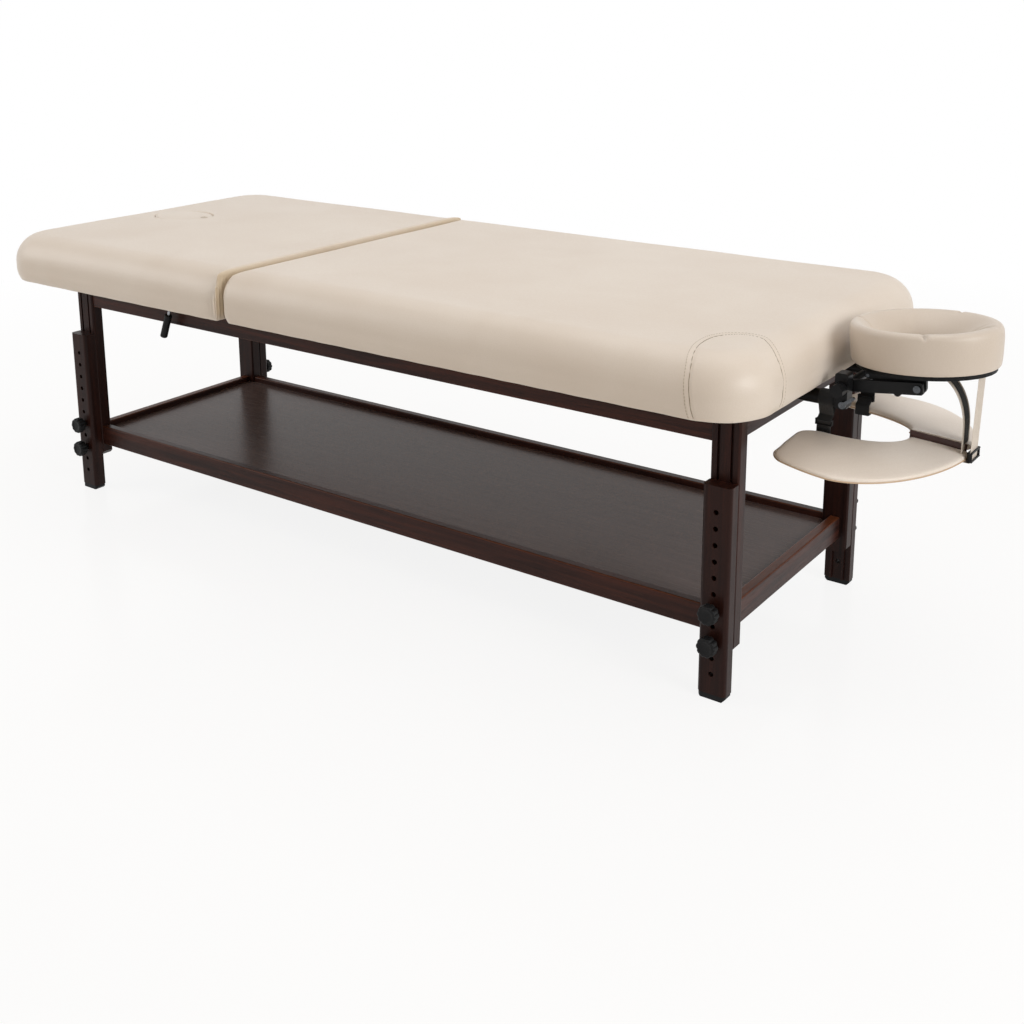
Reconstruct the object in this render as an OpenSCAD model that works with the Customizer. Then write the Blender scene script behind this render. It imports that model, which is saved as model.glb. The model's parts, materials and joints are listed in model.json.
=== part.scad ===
// Stationary massage table with a lifting backrest, adjustable legs, a shelf,
// a face cradle on two prongs and a folding armrest hung below it.
// The origin is on the floor under the middle of the whole object.
// +X runs to the face cradle end, +Y to the far long side, +Z up.

/* [Table top] */
// Length of both cushions together
top_l = 1854; // [1750:1:2000]
// Width of the cushions
top_w = 787; // [700:1:850]
// Thickness of a cushion, foam, deck and cover together
cushion_t = 100; // [80:1:120]
// Length of the fixed cushion at the cradle end
long_l = 1132; // [1060:1:1250]
// Gap between the two cushions
split_gap = 4; // [2:0.5:8]
// Corner radius of the cushions seen from above
corner_r = 100; // [60:1:140]
// How far the top edge of a side rolls in
edge_roll = 62; // [30:1:80]
// How far the top edge rolls in at the fixed cushion's split end
split_roll = 42; // [20:1:60]
// Height of the crown over the flat of the top
crown_h = 5; // [2:0.5:12]
// How far the cover is drawn in under the bottom edge
under_draw = 7; // [3:0.5:12]
// Thickness of the plywood decks
deck_t = 12; // [9:1:18]
// How far a deck's edge lies inside the cushion's edge
deck_in = 14; // [10:1:25]

/* [Frame] */
// Height of the decks' underside above the floor
frame_h = 518.5; // [500:0.5:540]
// Distance over the long-side faces of the posts
frame_w = 512; // [460:1:560]
// From the cradle end of the cushion in to the posts
head_over = 74; // [50:1:110]
// From the foot end of the cushion in to the posts
foot_over = 89; // [50:1:120]
// Width of posts and leg sliders along the table
post_w = 52; // [45:1:60]
// Thickness of the posts across the table
post_t = 28; // [24:1:34]
// Height of the posts' lower ends above the floor
post_z = 79; // [70:1:90]
// Height of the rails under the top
rail_h = 79; // [70:1:90]
// Thickness of all rails
rail_t = 20; // [16:1:24]

/* [Shelf] */
// Height of the shelf rails' lower edge above the floor
shelf_z = 106; // [95:1:125]
// Height of the shelf rails
shelf_rail_h = 45; // [38:1:55]
// Thickness of the shelf panel
panel_t = 12; // [9:1:15]
// How deep the panel lies below the rails' top edges
panel_drop = 13; // [8:1:18]

/* [Legs] */
// Length of a leg slider above its glide
slider_l = 367; // [340:1:390]
// Thickness of a leg slider
slider_t = 26; // [22:1:30]
// Radius of a slider's outer edges
slider_r = 8; // [4:0.5:11]
// Height of a foot glide
glide_h = 10; // [8:1:14]
// Number of height holes in a slider
hole_n = 11; // [9:1:12]
// Distance between height holes
hole_pitch = 28.6; // [26:0.1:30]
// Radius of a height hole
hole_r = 4.6; // [4.3:0.1:5.5]
// Height of the top hole above the floor
hole_top = 332.4; // [325:0.1:345]
// Radius of the threaded studs
stud_r = 4; // [3.5:0.1:4.1]
// Diameter of a knob's head
knob_d = 35; // [28:1:42]
// Thickness of a knob's head
knob_t = 17; // [12:1:22]

/* [Backrest] */
// Distance from the backrest's hinge line to the prop's pivot
prop_reach = 165; // [130:1:190]
// Length of the soft edge strip that folds at the hinge
fold_strip = 88; // [80:1:110]
// Depth of the hinge line below the decks
hinge_drop = 14; // [12:0.5:18]
// Length of the breathing hole along the table
plug_l = 160; // [120:1:170]
// Width of the breathing hole
plug_w = 118; // [80:1:130]
// From the foot end of the cushion to the hole's middle
plug_in = 176; // [170:1:230]
// From the hinge line to the release lever's shaft
lever_in = 289; // [270:1:300]

/* [Face cradle] */
// How far the cradle cushion reaches past the fixed cushion
cradle_out = 251; // [235:1:290]
// Length of the cradle cushion along the table
ring_l = 245; // [230:1:280]
// Width of the cradle cushion
ring_w = 212; // [190:1:260]
// Thickness of the cradle cushion
ring_t = 66; // [50:1:75]
// Width of the ring's padding at the forehead end
ring_brow = 74; // [60:1:85]
// Width of the ring's padding at its sides
ring_side = 54; // [45:1:62]
// Width of the ring's padding at its two tips
ring_tips = 45; // [38:1:60]
// Upward tilt of the cradle's outer end in degrees
ring_tilt = 3.2; // [0:0.1:8]
// Thickness of the cradle's plate
plate_t = 8; // [6:0.5:8.5]
// Distance between the two prongs' centres
prong_gap = 202; // [190:1:216]
// Radius of a prong
prong_r = 12.5; // [11:0.5:14]
// Length of a prong inside the table
prong_in = 95; // [70:1:120]
// Height of a cradle arm's bar
arm_h = 20; // [16:1:26]

/* [Armrest] */
// Height of the armrest's fold above the floor
arm_z = 420; // [400:1:430]
// Width of one armrest half
half_w = 227; // [190:1:260]
// Length of the armrest along the table
half_l = 262; // [245:1:266]
// Thickness of an armrest half
half_t = 11; // [8:1:16]
// Slope of the armrest down to its outer end in degrees
arm_slope = 4; // [0:0.5:8]
// Droop of the near half in degrees
near_droop = 3; // [1:0.5:8]
// Droop of the far half in degrees
far_droop = 6; // [1:0.5:10]
// Width of the black side straps
web_w = 25; // [20:1:26]
// Width of the front strap
front_strap_w = 25; // [18:1:32]

/* [Hidden] */

$fn = 48;
// Overrun of a cut past the face that it opens
cut = 1;
// Radial play of a pin or shaft in its bore
pin_play = 0.06;
// Play of a sliding tongue in its groove, each side
slide_play = 0.3;
// Air between a soft solid and a neighbour that moves past it
soft_air = 0.5;

wood = "#3a1f1a";
vinyl = "#d9cbb8";
black = "#18181a";
steel = "#b9bbbe";
ply = "#c9a878";

// Places along the table and across it
all_l = top_l + cradle_out;
x_foot = -all_l / 2;
x_head = x_foot + top_l;
x_split = x_head - long_l;
x_out = x_head + cradle_out;
leg_head = x_head - head_over;
leg_foot = x_foot + foot_over;
leg_cx = [leg_head - post_w / 2, leg_foot + post_w / 2];
inner_head = leg_head - post_w;
inner_foot = leg_foot + post_w;
span_x = inner_head - inner_foot;
half_span = frame_w / 2 - post_t;
rail_in = (post_t - rail_t) / 2;
rail_y = frame_w / 2 - rail_in;
bar_half = rail_y - rail_t;
cushion_top = frame_h + cushion_t;

// Post and slider details
groove_w = 5;
groove_d = 5;
groove_x = 12;
post_edge_r = 4;
post_chamfer = 9;
tongue_root = 1;
slider_in_r = 1;
glide_chamfer = 5;
glide_in = 1;
glide_pin_r = 4;
glide_pin_h = 14;
glide_hole_more = 2;
function hole_z(k) = hole_top - (k - 1) * hole_pitch;

// The two knobs of a leg sit at these holes, counted from the top
upper_hole = 7;
lower_hole = 9;
stud_in = 20;
stud_grip = 16;
knob_blind = 2;
knob_gap = 0.4;
knob_neck_r = 8;
knob_neck_h = 8;
knob_edge = 2;
knob_flutes = 10;
flute_r = 3.5;

// Dowels between the rails' ends and the posts
dowel_r = 3.5;
dowel_l = 50;
dowel_in = 16;
rail_edge_r = 3;

// Bars across the frame under the decks, and cleats under the shelf panel
bar_w = 40;
bar_h = 32;
bar_split_in = 9;
cleat_w = 18;
panel_play = 0.2;

// Backrest hinge
hinge_z = frame_h - hinge_drop;
hinge_pin_r = 3;
hinge_eye_r = 6;
leaf_t = 2.5;
leaf_w = 60;
leaf_y = 162;
leaf_pad_l = 42;
leaf_turn = 26;
leaf_neck_shares = [0.6, 0.75, 0.3];
knuckle_gap = 0.4;
deck_back_set = 46;

// Prop of the backrest: as long as its reach, so its foot stays level with
// the hinge line while it walks along the racks
prop_y = 90;
prop_t = 5;
prop_h = 12;
prop_eye_r = 8;
prop_pin_r = 4;
prop_foot_r = 5;
cheek_t = 4;
cheek_gap = 0.5;
rack_y = 100;
rack_t = 14;
rack_h = 14;
rack_gap = 0.3;
rack_end = 22;
rack_lead = 21;
rack_far = 2 * prop_reach + rack_end;
tooth_n = 7;
tooth_deep = 5;
tooth_run = 24;
tooth_ramp_share = 0.85;
rack_top = hinge_z - prop_foot_r - rack_gap;

// Release lever
lever_x = x_split - lever_in;
lever_under = 40.5;
lever_z = frame_h - lever_under;
lever_r = 3.5;
lever_tail = 72;
lever_out = 20;
lever_elbow_r = 4.4;
lever_drop = 66;
lever_tilt = 22;
grip_r = 8;
grip_l = 56;
grip_edge = 2.5;
finger_l = 20;
finger_w = 8;
finger_t = 10;
collar_r = 7;
collar_t = 4;
collar_gap = 0.4;

// Cushion forms: shares of the draw and the height of the drawn-in foot,
// angles of the rolled edge, and shares of the crown
under_rise = 28;
under_shares = [[1, 0], [0.55, 0.15], [0.2, 0.5], [0, 1]];
roll_angles = [12, 24, 36, 48, 60, 75, 90];
crown_shares = [[0.2, 0.5], [0.45, 0.85], [0.72, 1]];
crown_run = top_w / 2 - edge_roll;
side_pull = 3;
corner_n = 7;
side_n = 3;
split_corner_r = 16;
plug_n = 40;
plug_roll = 5;
plug_dome = 3;
plug_proud = 1;

// Face cradle: prongs, hubs, axle and arms
prong_y = prong_gap / 2;
prong_under = 20.5;
prong_z = frame_h - prong_under;
prong_play = 0.08;
socket_wall = 3;
socket_flange_r = 21;
socket_flange_t = 2.5;
prong_short = 6;
hub_in = 20;
hub_l = 22;
hub_t = 22;
hub_over = 48;
hub_top = prong_z + hub_over;
hub_r = 5;
hub_weld = 2;
axle_in = 31;
axle_over = 22;
axle_z = prong_z + axle_over;
axle_r = 8;
cap_r = 11;
cap_l = 20;
cap_gap = 0.5;
arm_t = 8;
arm_gap = 2;
arm_run = 116;
arm_rise = 14;
arm_eye_r = 13;
arm_over = 9;
arm_corner_r = 4;
tie_share = 0.17;
tie_r = 4;
nub_share = 0.72;
nub_r = 6;
nub_sink = 2;
tip_pin_r = 4;
bolt_head_r = 6;
bolt_head_t = 2.4;
small_head_r = 4.2;
hub_x = x_head + hub_in;
axle_x = x_head + axle_in;
tip_x = axle_x + arm_run;
tip_z = axle_z + arm_rise;
arm_in = prong_y - hub_t / 2 - arm_gap - arm_t;
cheek_in = arm_in - arm_gap - arm_t;

// Cam lever on the near hub
cam_in = 16;
cam_under = 4;
cam_z = prong_z - cam_under;
cam_pin_r = 3;
cam_pin_l = 12;
cam_r = 6;
cam_t = 5;
cam_l = 25;
cam_w = 6;
cam_rise = 38;
cam_gap = 0.4;

// Cradle plate and cushion, in a frame that leans with the ring
plate_over = 29.5;
plate_z = axle_z + plate_over;
plate_in = 9;
ring_edge = 17;
ring_inner_roll = 26;
ring_under = 7;
ring_crown = 1.5;
ring_n = 36;
ring_open = 4;
tip_round = 7;
tip_shrink_share = 0.8;
hole_clear = 6;
ring_cx = x_out - ring_l / 2 * cos(ring_tilt) + plate_t * sin(ring_tilt);
hole_a = (ring_l - ring_brow - ring_tips) / 2;
hole_b = ring_w / 2 - ring_side;
hole_dx = (ring_tips - ring_brow) / 2;
base_t = 3;
base_x0 = -72;
base_x1 = 32;
base_flange = 10;
cheek_lobe_r = 11;
cheek_drop = 6;
cheek_foot_shares = [0.4, 0.9];

// Armrest halves, in a frame on the fold's middle
fold_in = 158;
fold_out = 53;
belly = 107;
belly_a = 300;
outer_power = 1.75;
notch_start = 37;
notch_a = 124;
notch_b = 68;
notch_flare = 22;
half_n = 26;
flare_n = 5;
half_edge = 4;
half_crown = 1;
half_thin_share = 0.5;
near_gap = 1;
far_gap = 0.6;
far_rise = 13;
fold_fabric_t = 0.8;
fold_x = x_head + fold_in;
half_x0 = fold_out - half_l;

// Straps
strap_t = 1.6;
loop_gap = 0.5;
loop_drop = 32;
loop_shift = 16;
strap_straight = 14;
web_out = 6;
web_foot_in = 14;
web_foot_play = 3;
web_x = x_head + web_out;
web_foot_x = x_head - web_foot_in;
web_foot_y = notch_b - web_foot_play;
hook_l = 15;
strap_clear = 0.4;
strap_over = 2;
strap_fold = 4;
lock_h = 10;
lock_wall = 2.2;
front_top_in = 29;
front_foot_in = 34;
front_top_x = x_out - front_top_in;
front_foot_x = x_out - front_foot_in;
front_hook_l = 14;
arc_top_in = 89;
arc_foot_in = 48;
arc_side_rise = 45;
arc_top_x = x_out - arc_top_in;
arc_foot_x = x_out - arc_foot_in;
arc_side_z = arm_z + arc_side_rise;
arc_n = 10;
front_lock_h = 16;

// One leg's frame: origin on the post's outer face, +Y pointing outward.
module at_leg(side, end) {
    translate([leg_cx[end], side * frame_w / 2, 0])
        rotate(side > 0 ? 0 : 180) children();
}

// Rectangle with its lower left corner at the origin and round corners.
module round_2d(w, h, r) {
    translate([r, 0]) square([w - 2 * r, h]);
    translate([0, r]) square([w, h - 2 * r]);
    for (x = [r, w - r]) for (y = [r, h - r]) translate([x, y]) circle(r);
}

// Board section from y0 to y1 with corner radius r on its +Y side and q on
// its -Y side.
module board_2d(w, y0, y1, r, q) {
    translate([-w / 2, y0 + q]) square([w, y1 - y0 - r - q]);
    translate([-w / 2 + r, y1 - r]) square([w - 2 * r, r]);
    translate([-w / 2 + q, y0]) square([w - 2 * q, q]);
    for (s = [-1, 1]) {
        translate([s * (w / 2 - r), y1 - r]) circle(r);
        translate([s * (w / 2 - q), y0 + q]) circle(q);
    }
}

// Square bar along Y whose diagonals are 2 c, centred on the origin, which
// cuts a chamfer of c off an edge.
module edge_cutter(c, l) {
    rotate([0, 45, 0]) translate([-c * sqrt(1 / 2), 0, -c * sqrt(1 / 2)])
        cube([c * sqrt(2), l, c * sqrt(2)]);
}

// Cylinder along Y from y0 to y1.
module rod_y(r, y0, y1) {
    translate([0, y0, 0]) rotate([-90, 0, 0]) cylinder(r = r, h = y1 - y0);
}

// Flat shape of the X and Z plane, made thick from y0 to y1.
module slab_y(y0, y1) {
    translate([0, y1, 0]) rotate([90, 0, 0]) linear_extrude(y1 - y0) children();
}

// Dowels between rails and posts, grown by a radial play when they are cut out of the wood.
module dowels(play) {
    rows = [frame_h - rail_h / 2, shelf_z + shelf_rail_h / 2];
    for (z = rows) for (side = [-1, 1]) for (end = [0, 1]) {
        run = end == 0 ? -1 : 1;
        face = end == 0 ? inner_head : inner_foot;
        translate([face - run * dowel_in, side * (rail_y - rail_t / 2), z])
            rotate([0, run * 90, 0]) cylinder(r = dowel_r + play, h = dowel_l);
        translate([leg_cx[end], side * (half_span + dowel_in), z])
            rotate([side * 90, 0, 0]) cylinder(r = dowel_r + play, h = dowel_l);
    }
}

module frame_dowels() {
    color(wood) dowels(0);
}

// Fixed post: two guide grooves in its outer face, lower corners cut off.
module post(side, end) {
    color(wood) difference() {
        at_leg(side, end) difference() {
            translate([0, 0, post_z]) linear_extrude(frame_h - post_z)
                board_2d(post_w, -post_t, 0, post_edge_r, post_edge_r);
            for (s = [-1, 1]) {
                translate([s * groove_x - groove_w / 2, -groove_d, post_z - cut])
                    cube([groove_w, groove_d + cut, frame_h - post_z + 2 * cut]);
                translate([s * post_w / 2, -post_t - cut, post_z])
                    edge_cutter(post_chamfer, post_t + 2 * cut);
            }
            for (k = [upper_hole, lower_hole]) translate([0, 0, hole_z(k)])
                rod_y(stud_r + pin_play, -stud_in, cut);
        }
        dowels(pin_play);
    }
}

// Leg slider: rounded outer edges, two tongues in the post's grooves, and
// the row of height holes.
module slider(side, end) {
    color(wood) at_leg(side, end) difference() {
        translate([0, 0, glide_h]) linear_extrude(slider_l) {
            board_2d(post_w, 0, slider_t, slider_r, slider_in_r);
            for (s = [-1, 1])
                translate([s * groove_x - groove_w / 2 + slide_play, slide_play - groove_d])
                    square([groove_w - 2 * slide_play, groove_d + tongue_root]);
        }
        for (k = [1:hole_n]) translate([0, 0, hole_z(k)])
            rod_y(hole_r, -cut, slider_t + cut);
        translate([0, slider_t / 2, glide_h - cut])
            cylinder(r = glide_pin_r + pin_play, h = glide_pin_h + glide_hole_more + cut);
    }
}

// Foot glide with a pin up into the slider.
module glide(side, end) {
    color(black) at_leg(side, end) {
        difference() {
            linear_extrude(glide_h)
                board_2d(post_w - 2 * glide_in, glide_in, slider_t - glide_in,
                    slider_r - glide_in, slider_in_r);
            for (s = [-1, 1]) translate([s * (post_w / 2 - glide_in), -cut, 0])
                edge_cutter(glide_chamfer, slider_t + 2 * cut);
        }
        translate([0, slider_t / 2, glide_h / 2])
            cylinder(r = glide_pin_r, h = glide_h / 2 + glide_pin_h);
    }
}

// Studs that stand in the posts and pass through the sliders' holes.
module leg_studs() {
    color(steel) for (side = [-1, 1]) for (end = [0, 1])
        for (k = [upper_hole, lower_hole]) at_leg(side, end) translate([0, 0, hole_z(k)])
            rod_y(stud_r, -stud_in, slider_t + knob_gap + stud_grip);
}

// Fluted knob on its stud.
module knob(side, end, k) {
    head_r = knob_d / 2;
    color(black) at_leg(side, end) translate([0, slider_t + knob_gap, hole_z(k)])
        rotate([-90, 0, 0]) difference() {
            union() {
                cylinder(r = knob_neck_r, h = knob_neck_h);
                translate([0, 0, knob_neck_h]) rotate_extrude()
                    polygon([[0, 0], [head_r - knob_edge, 0], [head_r, knob_edge],
                        [head_r, knob_t - knob_edge], [head_r - knob_edge, knob_t],
                        [0, knob_t]]);
            }
            translate([0, 0, -cut])
                cylinder(r = stud_r + pin_play, h = stud_grip + knob_blind + cut);
            for (i = [1:knob_flutes]) rotate(i * 360 / knob_flutes)
                translate([head_r + flute_r / 2, 0, knob_neck_h - cut])
                    cylinder(r = flute_r, h = knob_t + 2 * cut);
        }
}

// Long rail between the posts.
module long_rail(side, z0, h) {
    translate([inner_foot, side > 0 ? bar_half : -rail_y, z0])
        rotate([90, 0, 90]) linear_extrude(span_x) round_2d(rail_t, h, rail_edge_r);
}

// End rail between the posts.
module end_rail(end, z0, h) {
    translate([leg_cx[end] - rail_t / 2, 0, z0]) slab_y(-half_span, half_span)
        round_2d(rail_t, h, rail_edge_r);
}

module top_rail_front() {
    color(wood) difference() {
        long_rail(-1, frame_h - rail_h, rail_h);
        dowels(pin_play);
        translate([lever_x, 0, lever_z]) rod_y(lever_r + pin_play, -rail_y - cut, cut - bar_half);
    }
}

module top_rail_back() {
    color(wood) difference() {
        long_rail(1, frame_h - rail_h, rail_h);
        dowels(pin_play);
    }
}

// End rails under the top; the head one holds the prongs' sockets.
module top_end_rails() {
    color(wood) difference() {
        for (end = [0, 1]) end_rail(end, frame_h - rail_h, rail_h);
        dowels(pin_play);
        for (s = [-1, 1]) translate([leg_cx[0] - rail_t, s * prong_y, prong_z])
            rotate([0, 90, 0])
            cylinder(r = prong_r + prong_play + socket_wall + pin_play, h = 2 * rail_t);
    }
}

module shelf_rail(side) {
    color(wood) difference() {
        long_rail(side, shelf_z, shelf_rail_h);
        dowels(pin_play);
    }
}

module shelf_end_rails() {
    color(wood) difference() {
        for (end = [0, 1]) end_rail(end, shelf_z, shelf_rail_h);
        dowels(pin_play);
    }
}

// Recessed shelf panel, narrower where it reaches in between the posts.
module shelf_panel() {
    z = shelf_z + shelf_rail_h - panel_drop - panel_t;
    reach = leg_cx[0] - leg_cx[1] - rail_t - 2 * panel_play;
    wide = bar_half - panel_play;
    narrow = half_span - panel_play;
    color(wood) translate([(leg_cx[0] + leg_cx[1]) / 2, 0, z]) {
        translate([panel_play - span_x / 2, -wide, 0])
            cube([span_x - 2 * panel_play, 2 * wide, panel_t]);
        translate([-reach / 2, -narrow, 0]) cube([reach, 2 * narrow, panel_t]);
    }
}

// Cleats that carry the panel along all four rails.
module shelf_cleats() {
    z = shelf_z + shelf_rail_h - panel_drop - panel_t - cleat_w;
    color(wood) for (s = [-1, 1]) {
        translate([inner_foot, s > 0 ? bar_half - cleat_w : -bar_half, z])
            cube([span_x, cleat_w, cleat_w]);
        x = s > 0 ? leg_cx[0] - rail_t / 2 - cleat_w : leg_cx[1] + rail_t / 2;
        translate([x, cleat_w - half_span, z])
            cube([cleat_w, 2 * (half_span - cleat_w), cleat_w]);
    }
}

// Bars across the frame under the decks.
module cross_bars() {
    head_bar = leg_cx[0] + rail_t / 2 - prong_in - bar_w;
    split_bar = x_split + bar_split_in;
    rack_bar = x_split - rack_far - bar_w;
    middle_bar = (head_bar + split_bar) / 2;
    color(wood) for (x = [head_bar, middle_bar, split_bar, rack_bar])
        translate([x, -bar_half, frame_h - bar_h]) cube([bar_w, 2 * bar_half, bar_h]);
}

// Slab of thickness t whose underside is at z, with round corners r0 at x0
// and r1 at x1, symmetric about Y = 0.
module slab_form(x0, x1, w, r0, r1, z, t) {
    translate([0, 0, z]) linear_extrude(t) {
        translate([x0 + r0, -w / 2]) square([x1 - x0 - r0 - r1, w]);
        translate([x0, max(r0, r1) - w / 2]) square([x1 - x0, w - 2 * max(r0, r1)]);
        translate([x1 - r1, r1 - w / 2]) square([r1, w - 2 * r1]);
        translate([x0, r0 - w / 2]) square([r0, w - 2 * r0]);
        for (s = [-1, 1]) {
            translate([x0 + r0, s * (w / 2 - r0)]) circle(r0);
            translate([x1 - r1, s * (w / 2 - r1)]) circle(r1);
        }
    }
}

// Decks, with their undersides lower by d.
module deck_long_form(d) {
    slab_form(x_split + split_gap / 2 + deck_in, x_head - deck_in, top_w - 2 * deck_in,
        post_edge_r, corner_r - deck_in, frame_h - d, deck_t + d);
}

module deck_back_form(d) {
    slab_form(x_foot + deck_in, x_split - deck_back_set, top_w - 2 * deck_in,
        corner_r - deck_in, post_edge_r, frame_h - d, deck_t + d);
}

module deck_long() {
    color(ply) deck_long_form(0);
}

// Breathing hole, an ellipse grown by g all round.
module plug_outline(g) {
    polygon([for (i = [1:plug_n]) [(plug_l / 2 + g) * cos(i * 360 / plug_n),
        (plug_w / 2 + g) * sin(i * 360 / plug_n)]]);
}

module plug_hole() {
    translate([x_foot + plug_in, 0, frame_h - cut])
        linear_extrude(2 * cushion_t) plug_outline(0);
}

module deck_back() {
    color(ply) difference() {
        deck_back_form(0);
        plug_hole();
    }
}

// Points between a and b, bowed inward against the outward normal n.
function side_pts(a, b, n) = [for (i = [1:side_n]) let(u = i / (side_n + 1))
    a + (b - a) * u - n * side_pull * 4 * u * (1 - u)];

function corner_pts(c, r, a0) = [for (i = [0:corner_n]) let(a = a0 + 90 * i / corner_n)
    c + r * [cos(a), sin(a)]];

// Closed ring of a cushion from x0 to x1, half as wide as h, with corner
// radii r0 at x0 and r1 at x1. It starts at the middle of the side at x1.
function cushion_ring(x0, x1, h, r0, r1) =
    let(s = side_pts([x1, r1 - h], [x1, h - r1], [1, 0]), m = floor(side_n / 2)) concat(
    [for (i = [m:side_n - 1]) s[i]],
    corner_pts([x1 - r1, h - r1], r1, 0),
    side_pts([x1 - r1, h], [x0 + r0, h], [0, 1]),
    corner_pts([x0 + r0, h - r0], r0, 90),
    side_pts([x0, h - r0], [x0, r0 - h], [-1, 0]),
    corner_pts([x0 + r0, r0 - h], r0, 180),
    side_pts([x0 + r0, -h], [x1 - r1, -h], [0, -1]),
    corner_pts([x1 - r1, r1 - h], r1, 270),
    [for (i = [0:m - 1]) s[i]]);

// Inset of an edge that rolls in with radius r, at height z of the cushion.
function roll_in(r, z) = z <= cushion_t - r ? 0
    : r - sqrt(max(0, r * r - pow(z - cushion_t + r, 2)));

// Levels of a cushion: [inset, height, crown share].
cushion_levels = concat(
    [for (u = under_shares) [u[0] * under_draw, u[1] * under_rise, 0]],
    [[0, cushion_t - edge_roll, 0]],
    [for (a = roll_angles) [edge_roll * (1 - cos(a)), cushion_t - edge_roll * (1 - sin(a)), 0]],
    [for (c = crown_shares) [edge_roll + c[0] * crown_run,
        cushion_t + crown_h * c[1], c[0]]]);

// Inset of an end whose top edge rolls in with radius r, at one level.
function end_in(level, r) = level[2] > 0 ? r + level[2] * crown_run
    : min(level[0], under_draw) * (level[1] < under_rise ? 1 : 0) + roll_in(r, level[1]);

// Triangles that fill a ring of n points from side to side.
function cap(n) = concat([[0, 1, n - 1]],
    [for (i = [1:n / 2]) if (i + 1 < n - i) [i, i + 1, n - i]],
    [for (i = [1:n / 2]) if (i + 2 < n - i) [i + 1, n - i - 1, n - i]]);

// Triangles that join rows of n points and close both ends.
function skin(rows, n) = concat(
    [for (r = [0:rows - 2]) for (i = [0:n - 1]) let(j = (i + 1) % n)
        [r * n + i, (r + 1) * n + i, (r + 1) * n + j]],
    [for (r = [0:rows - 2]) for (i = [0:n - 1]) let(j = (i + 1) % n)
        [r * n + i, (r + 1) * n + j, r * n + j]],
    cap(n),
    [for (t = cap(n)) [for (k = [2:-1:0]) (rows - 1) * n + t[k]]]);

// Fixed cushion: crowned, with rolled top edges and drawn-in sides.
module cushion_long() {
    least_r = split_corner_r / 2;
    rings = [for (v = cushion_levels) let(x0 = x_split + split_gap / 2 + end_in(v, split_roll),
            x1 = x_head - end_in(v, edge_roll), h = top_w / 2 - v[0])
        [for (p = cushion_ring(x0, x1, h, max(least_r, split_corner_r - v[0]),
                max(least_r, corner_r - v[0])))
            [p[0], p[1], frame_h + v[1]]]];
    color(vinyl) difference() {
        polyhedron([for (r = rings) each r], skin(len(rings), len(rings[0])));
        deck_long_form(cut);
    }
}

// Slab of the backrest cushion over its deck.
module back_form() {
    difference() {
        slab_form(x_foot, x_split - split_gap / 2, top_w, corner_r, split_corner_r,
            frame_h, cushion_t);
        deck_back_form(cut);
    }
}

// Backrest cushion up to its soft edge strip, with the breathing hole.
module cushion_back() {
    color(vinyl) difference() {
        back_form();
        plug_hole();
        translate([x_split - fold_strip, -top_w, 0]) cube([fold_strip, 2 * top_w, 2 * cushion_top]);
    }
}

// Soft edge strip beside the split, which folds when the backrest rises.
module cushion_back_edge() {
    color(vinyl) intersection() {
        back_form();
        translate([x_split - fold_strip, -top_w, 0]) cube([fold_strip, 2 * top_w, 2 * cushion_top]);
    }
}

// Oval plug of the breathing hole, with a low dome.
module hole_plug() {
    levels = [[0, 0], [0, cushion_t + plug_proud - plug_roll],
        [plug_roll / 3, cushion_t + plug_proud - plug_roll / 3],
        [plug_roll, cushion_t + plug_proud],
        [plug_w / 4, cushion_t + plug_proud + plug_dome]];
    color(vinyl) translate([x_foot + plug_in, 0, frame_h])
        polyhedron([for (v = levels) for (i = [1:plug_n])
            [(plug_l / 2 - soft_air - v[0]) * cos(i * 360 / plug_n),
                (plug_w / 2 - soft_air - v[0]) * sin(i * 360 / plug_n), v[1]]],
            skin(len(levels), plug_n));
}

// Leaves on the split bar, with the middle knuckle and the pin.
module hinge_leaves_fixed() {
    third = leaf_w / 6 - knuckle_gap / 2;
    color(steel) for (s = [-1, 1]) translate([x_split, s * leaf_y, hinge_z]) {
        rod_y(hinge_pin_r, -leaf_w / 2, leaf_w / 2);
        rod_y(hinge_eye_r, -third, third);
        translate([0, -third, -hinge_eye_r])
            cube([bar_split_in, 2 * third, hinge_eye_r]);
        translate([bar_split_in - leaf_t, -leaf_w / 2, hinge_drop - bar_h])
            cube([leaf_t, leaf_w, bar_h - leaf_t]);
    }
}

// Leaves under the backrest's deck, with two outer knuckles each.
module hinge_leaves_moving() {
    far = deck_back_set + leaf_pad_l;
    color(steel) for (s = [-1, 1]) translate([x_split, s * leaf_y, hinge_z]) {
        for (k = [-1, 1]) {
            y0 = k > 0 ? leaf_w / 6 + knuckle_gap / 2 : -leaf_w / 2;
            slab_y(y0, y0 + leaf_w / 3 - knuckle_gap / 2) difference() {
                union() {
                    circle(hinge_eye_r);
                    polygon([[-far, hinge_drop], [-leaf_turn, hinge_drop],
                        hinge_eye_r * [-leaf_neck_shares[0], leaf_neck_shares[1]],
                        hinge_eye_r * [-leaf_neck_shares[0], -leaf_neck_shares[2]],
                        [-leaf_turn - leaf_t / 2, hinge_drop - leaf_t],
                        [-far, hinge_drop - leaf_t]]);
                }
                circle(hinge_pin_r + pin_play);
            }
        }
        translate([-far, -leaf_w / 2, hinge_drop - leaf_t])
            cube([leaf_pad_l, leaf_w, leaf_t]);
    }
}

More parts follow.
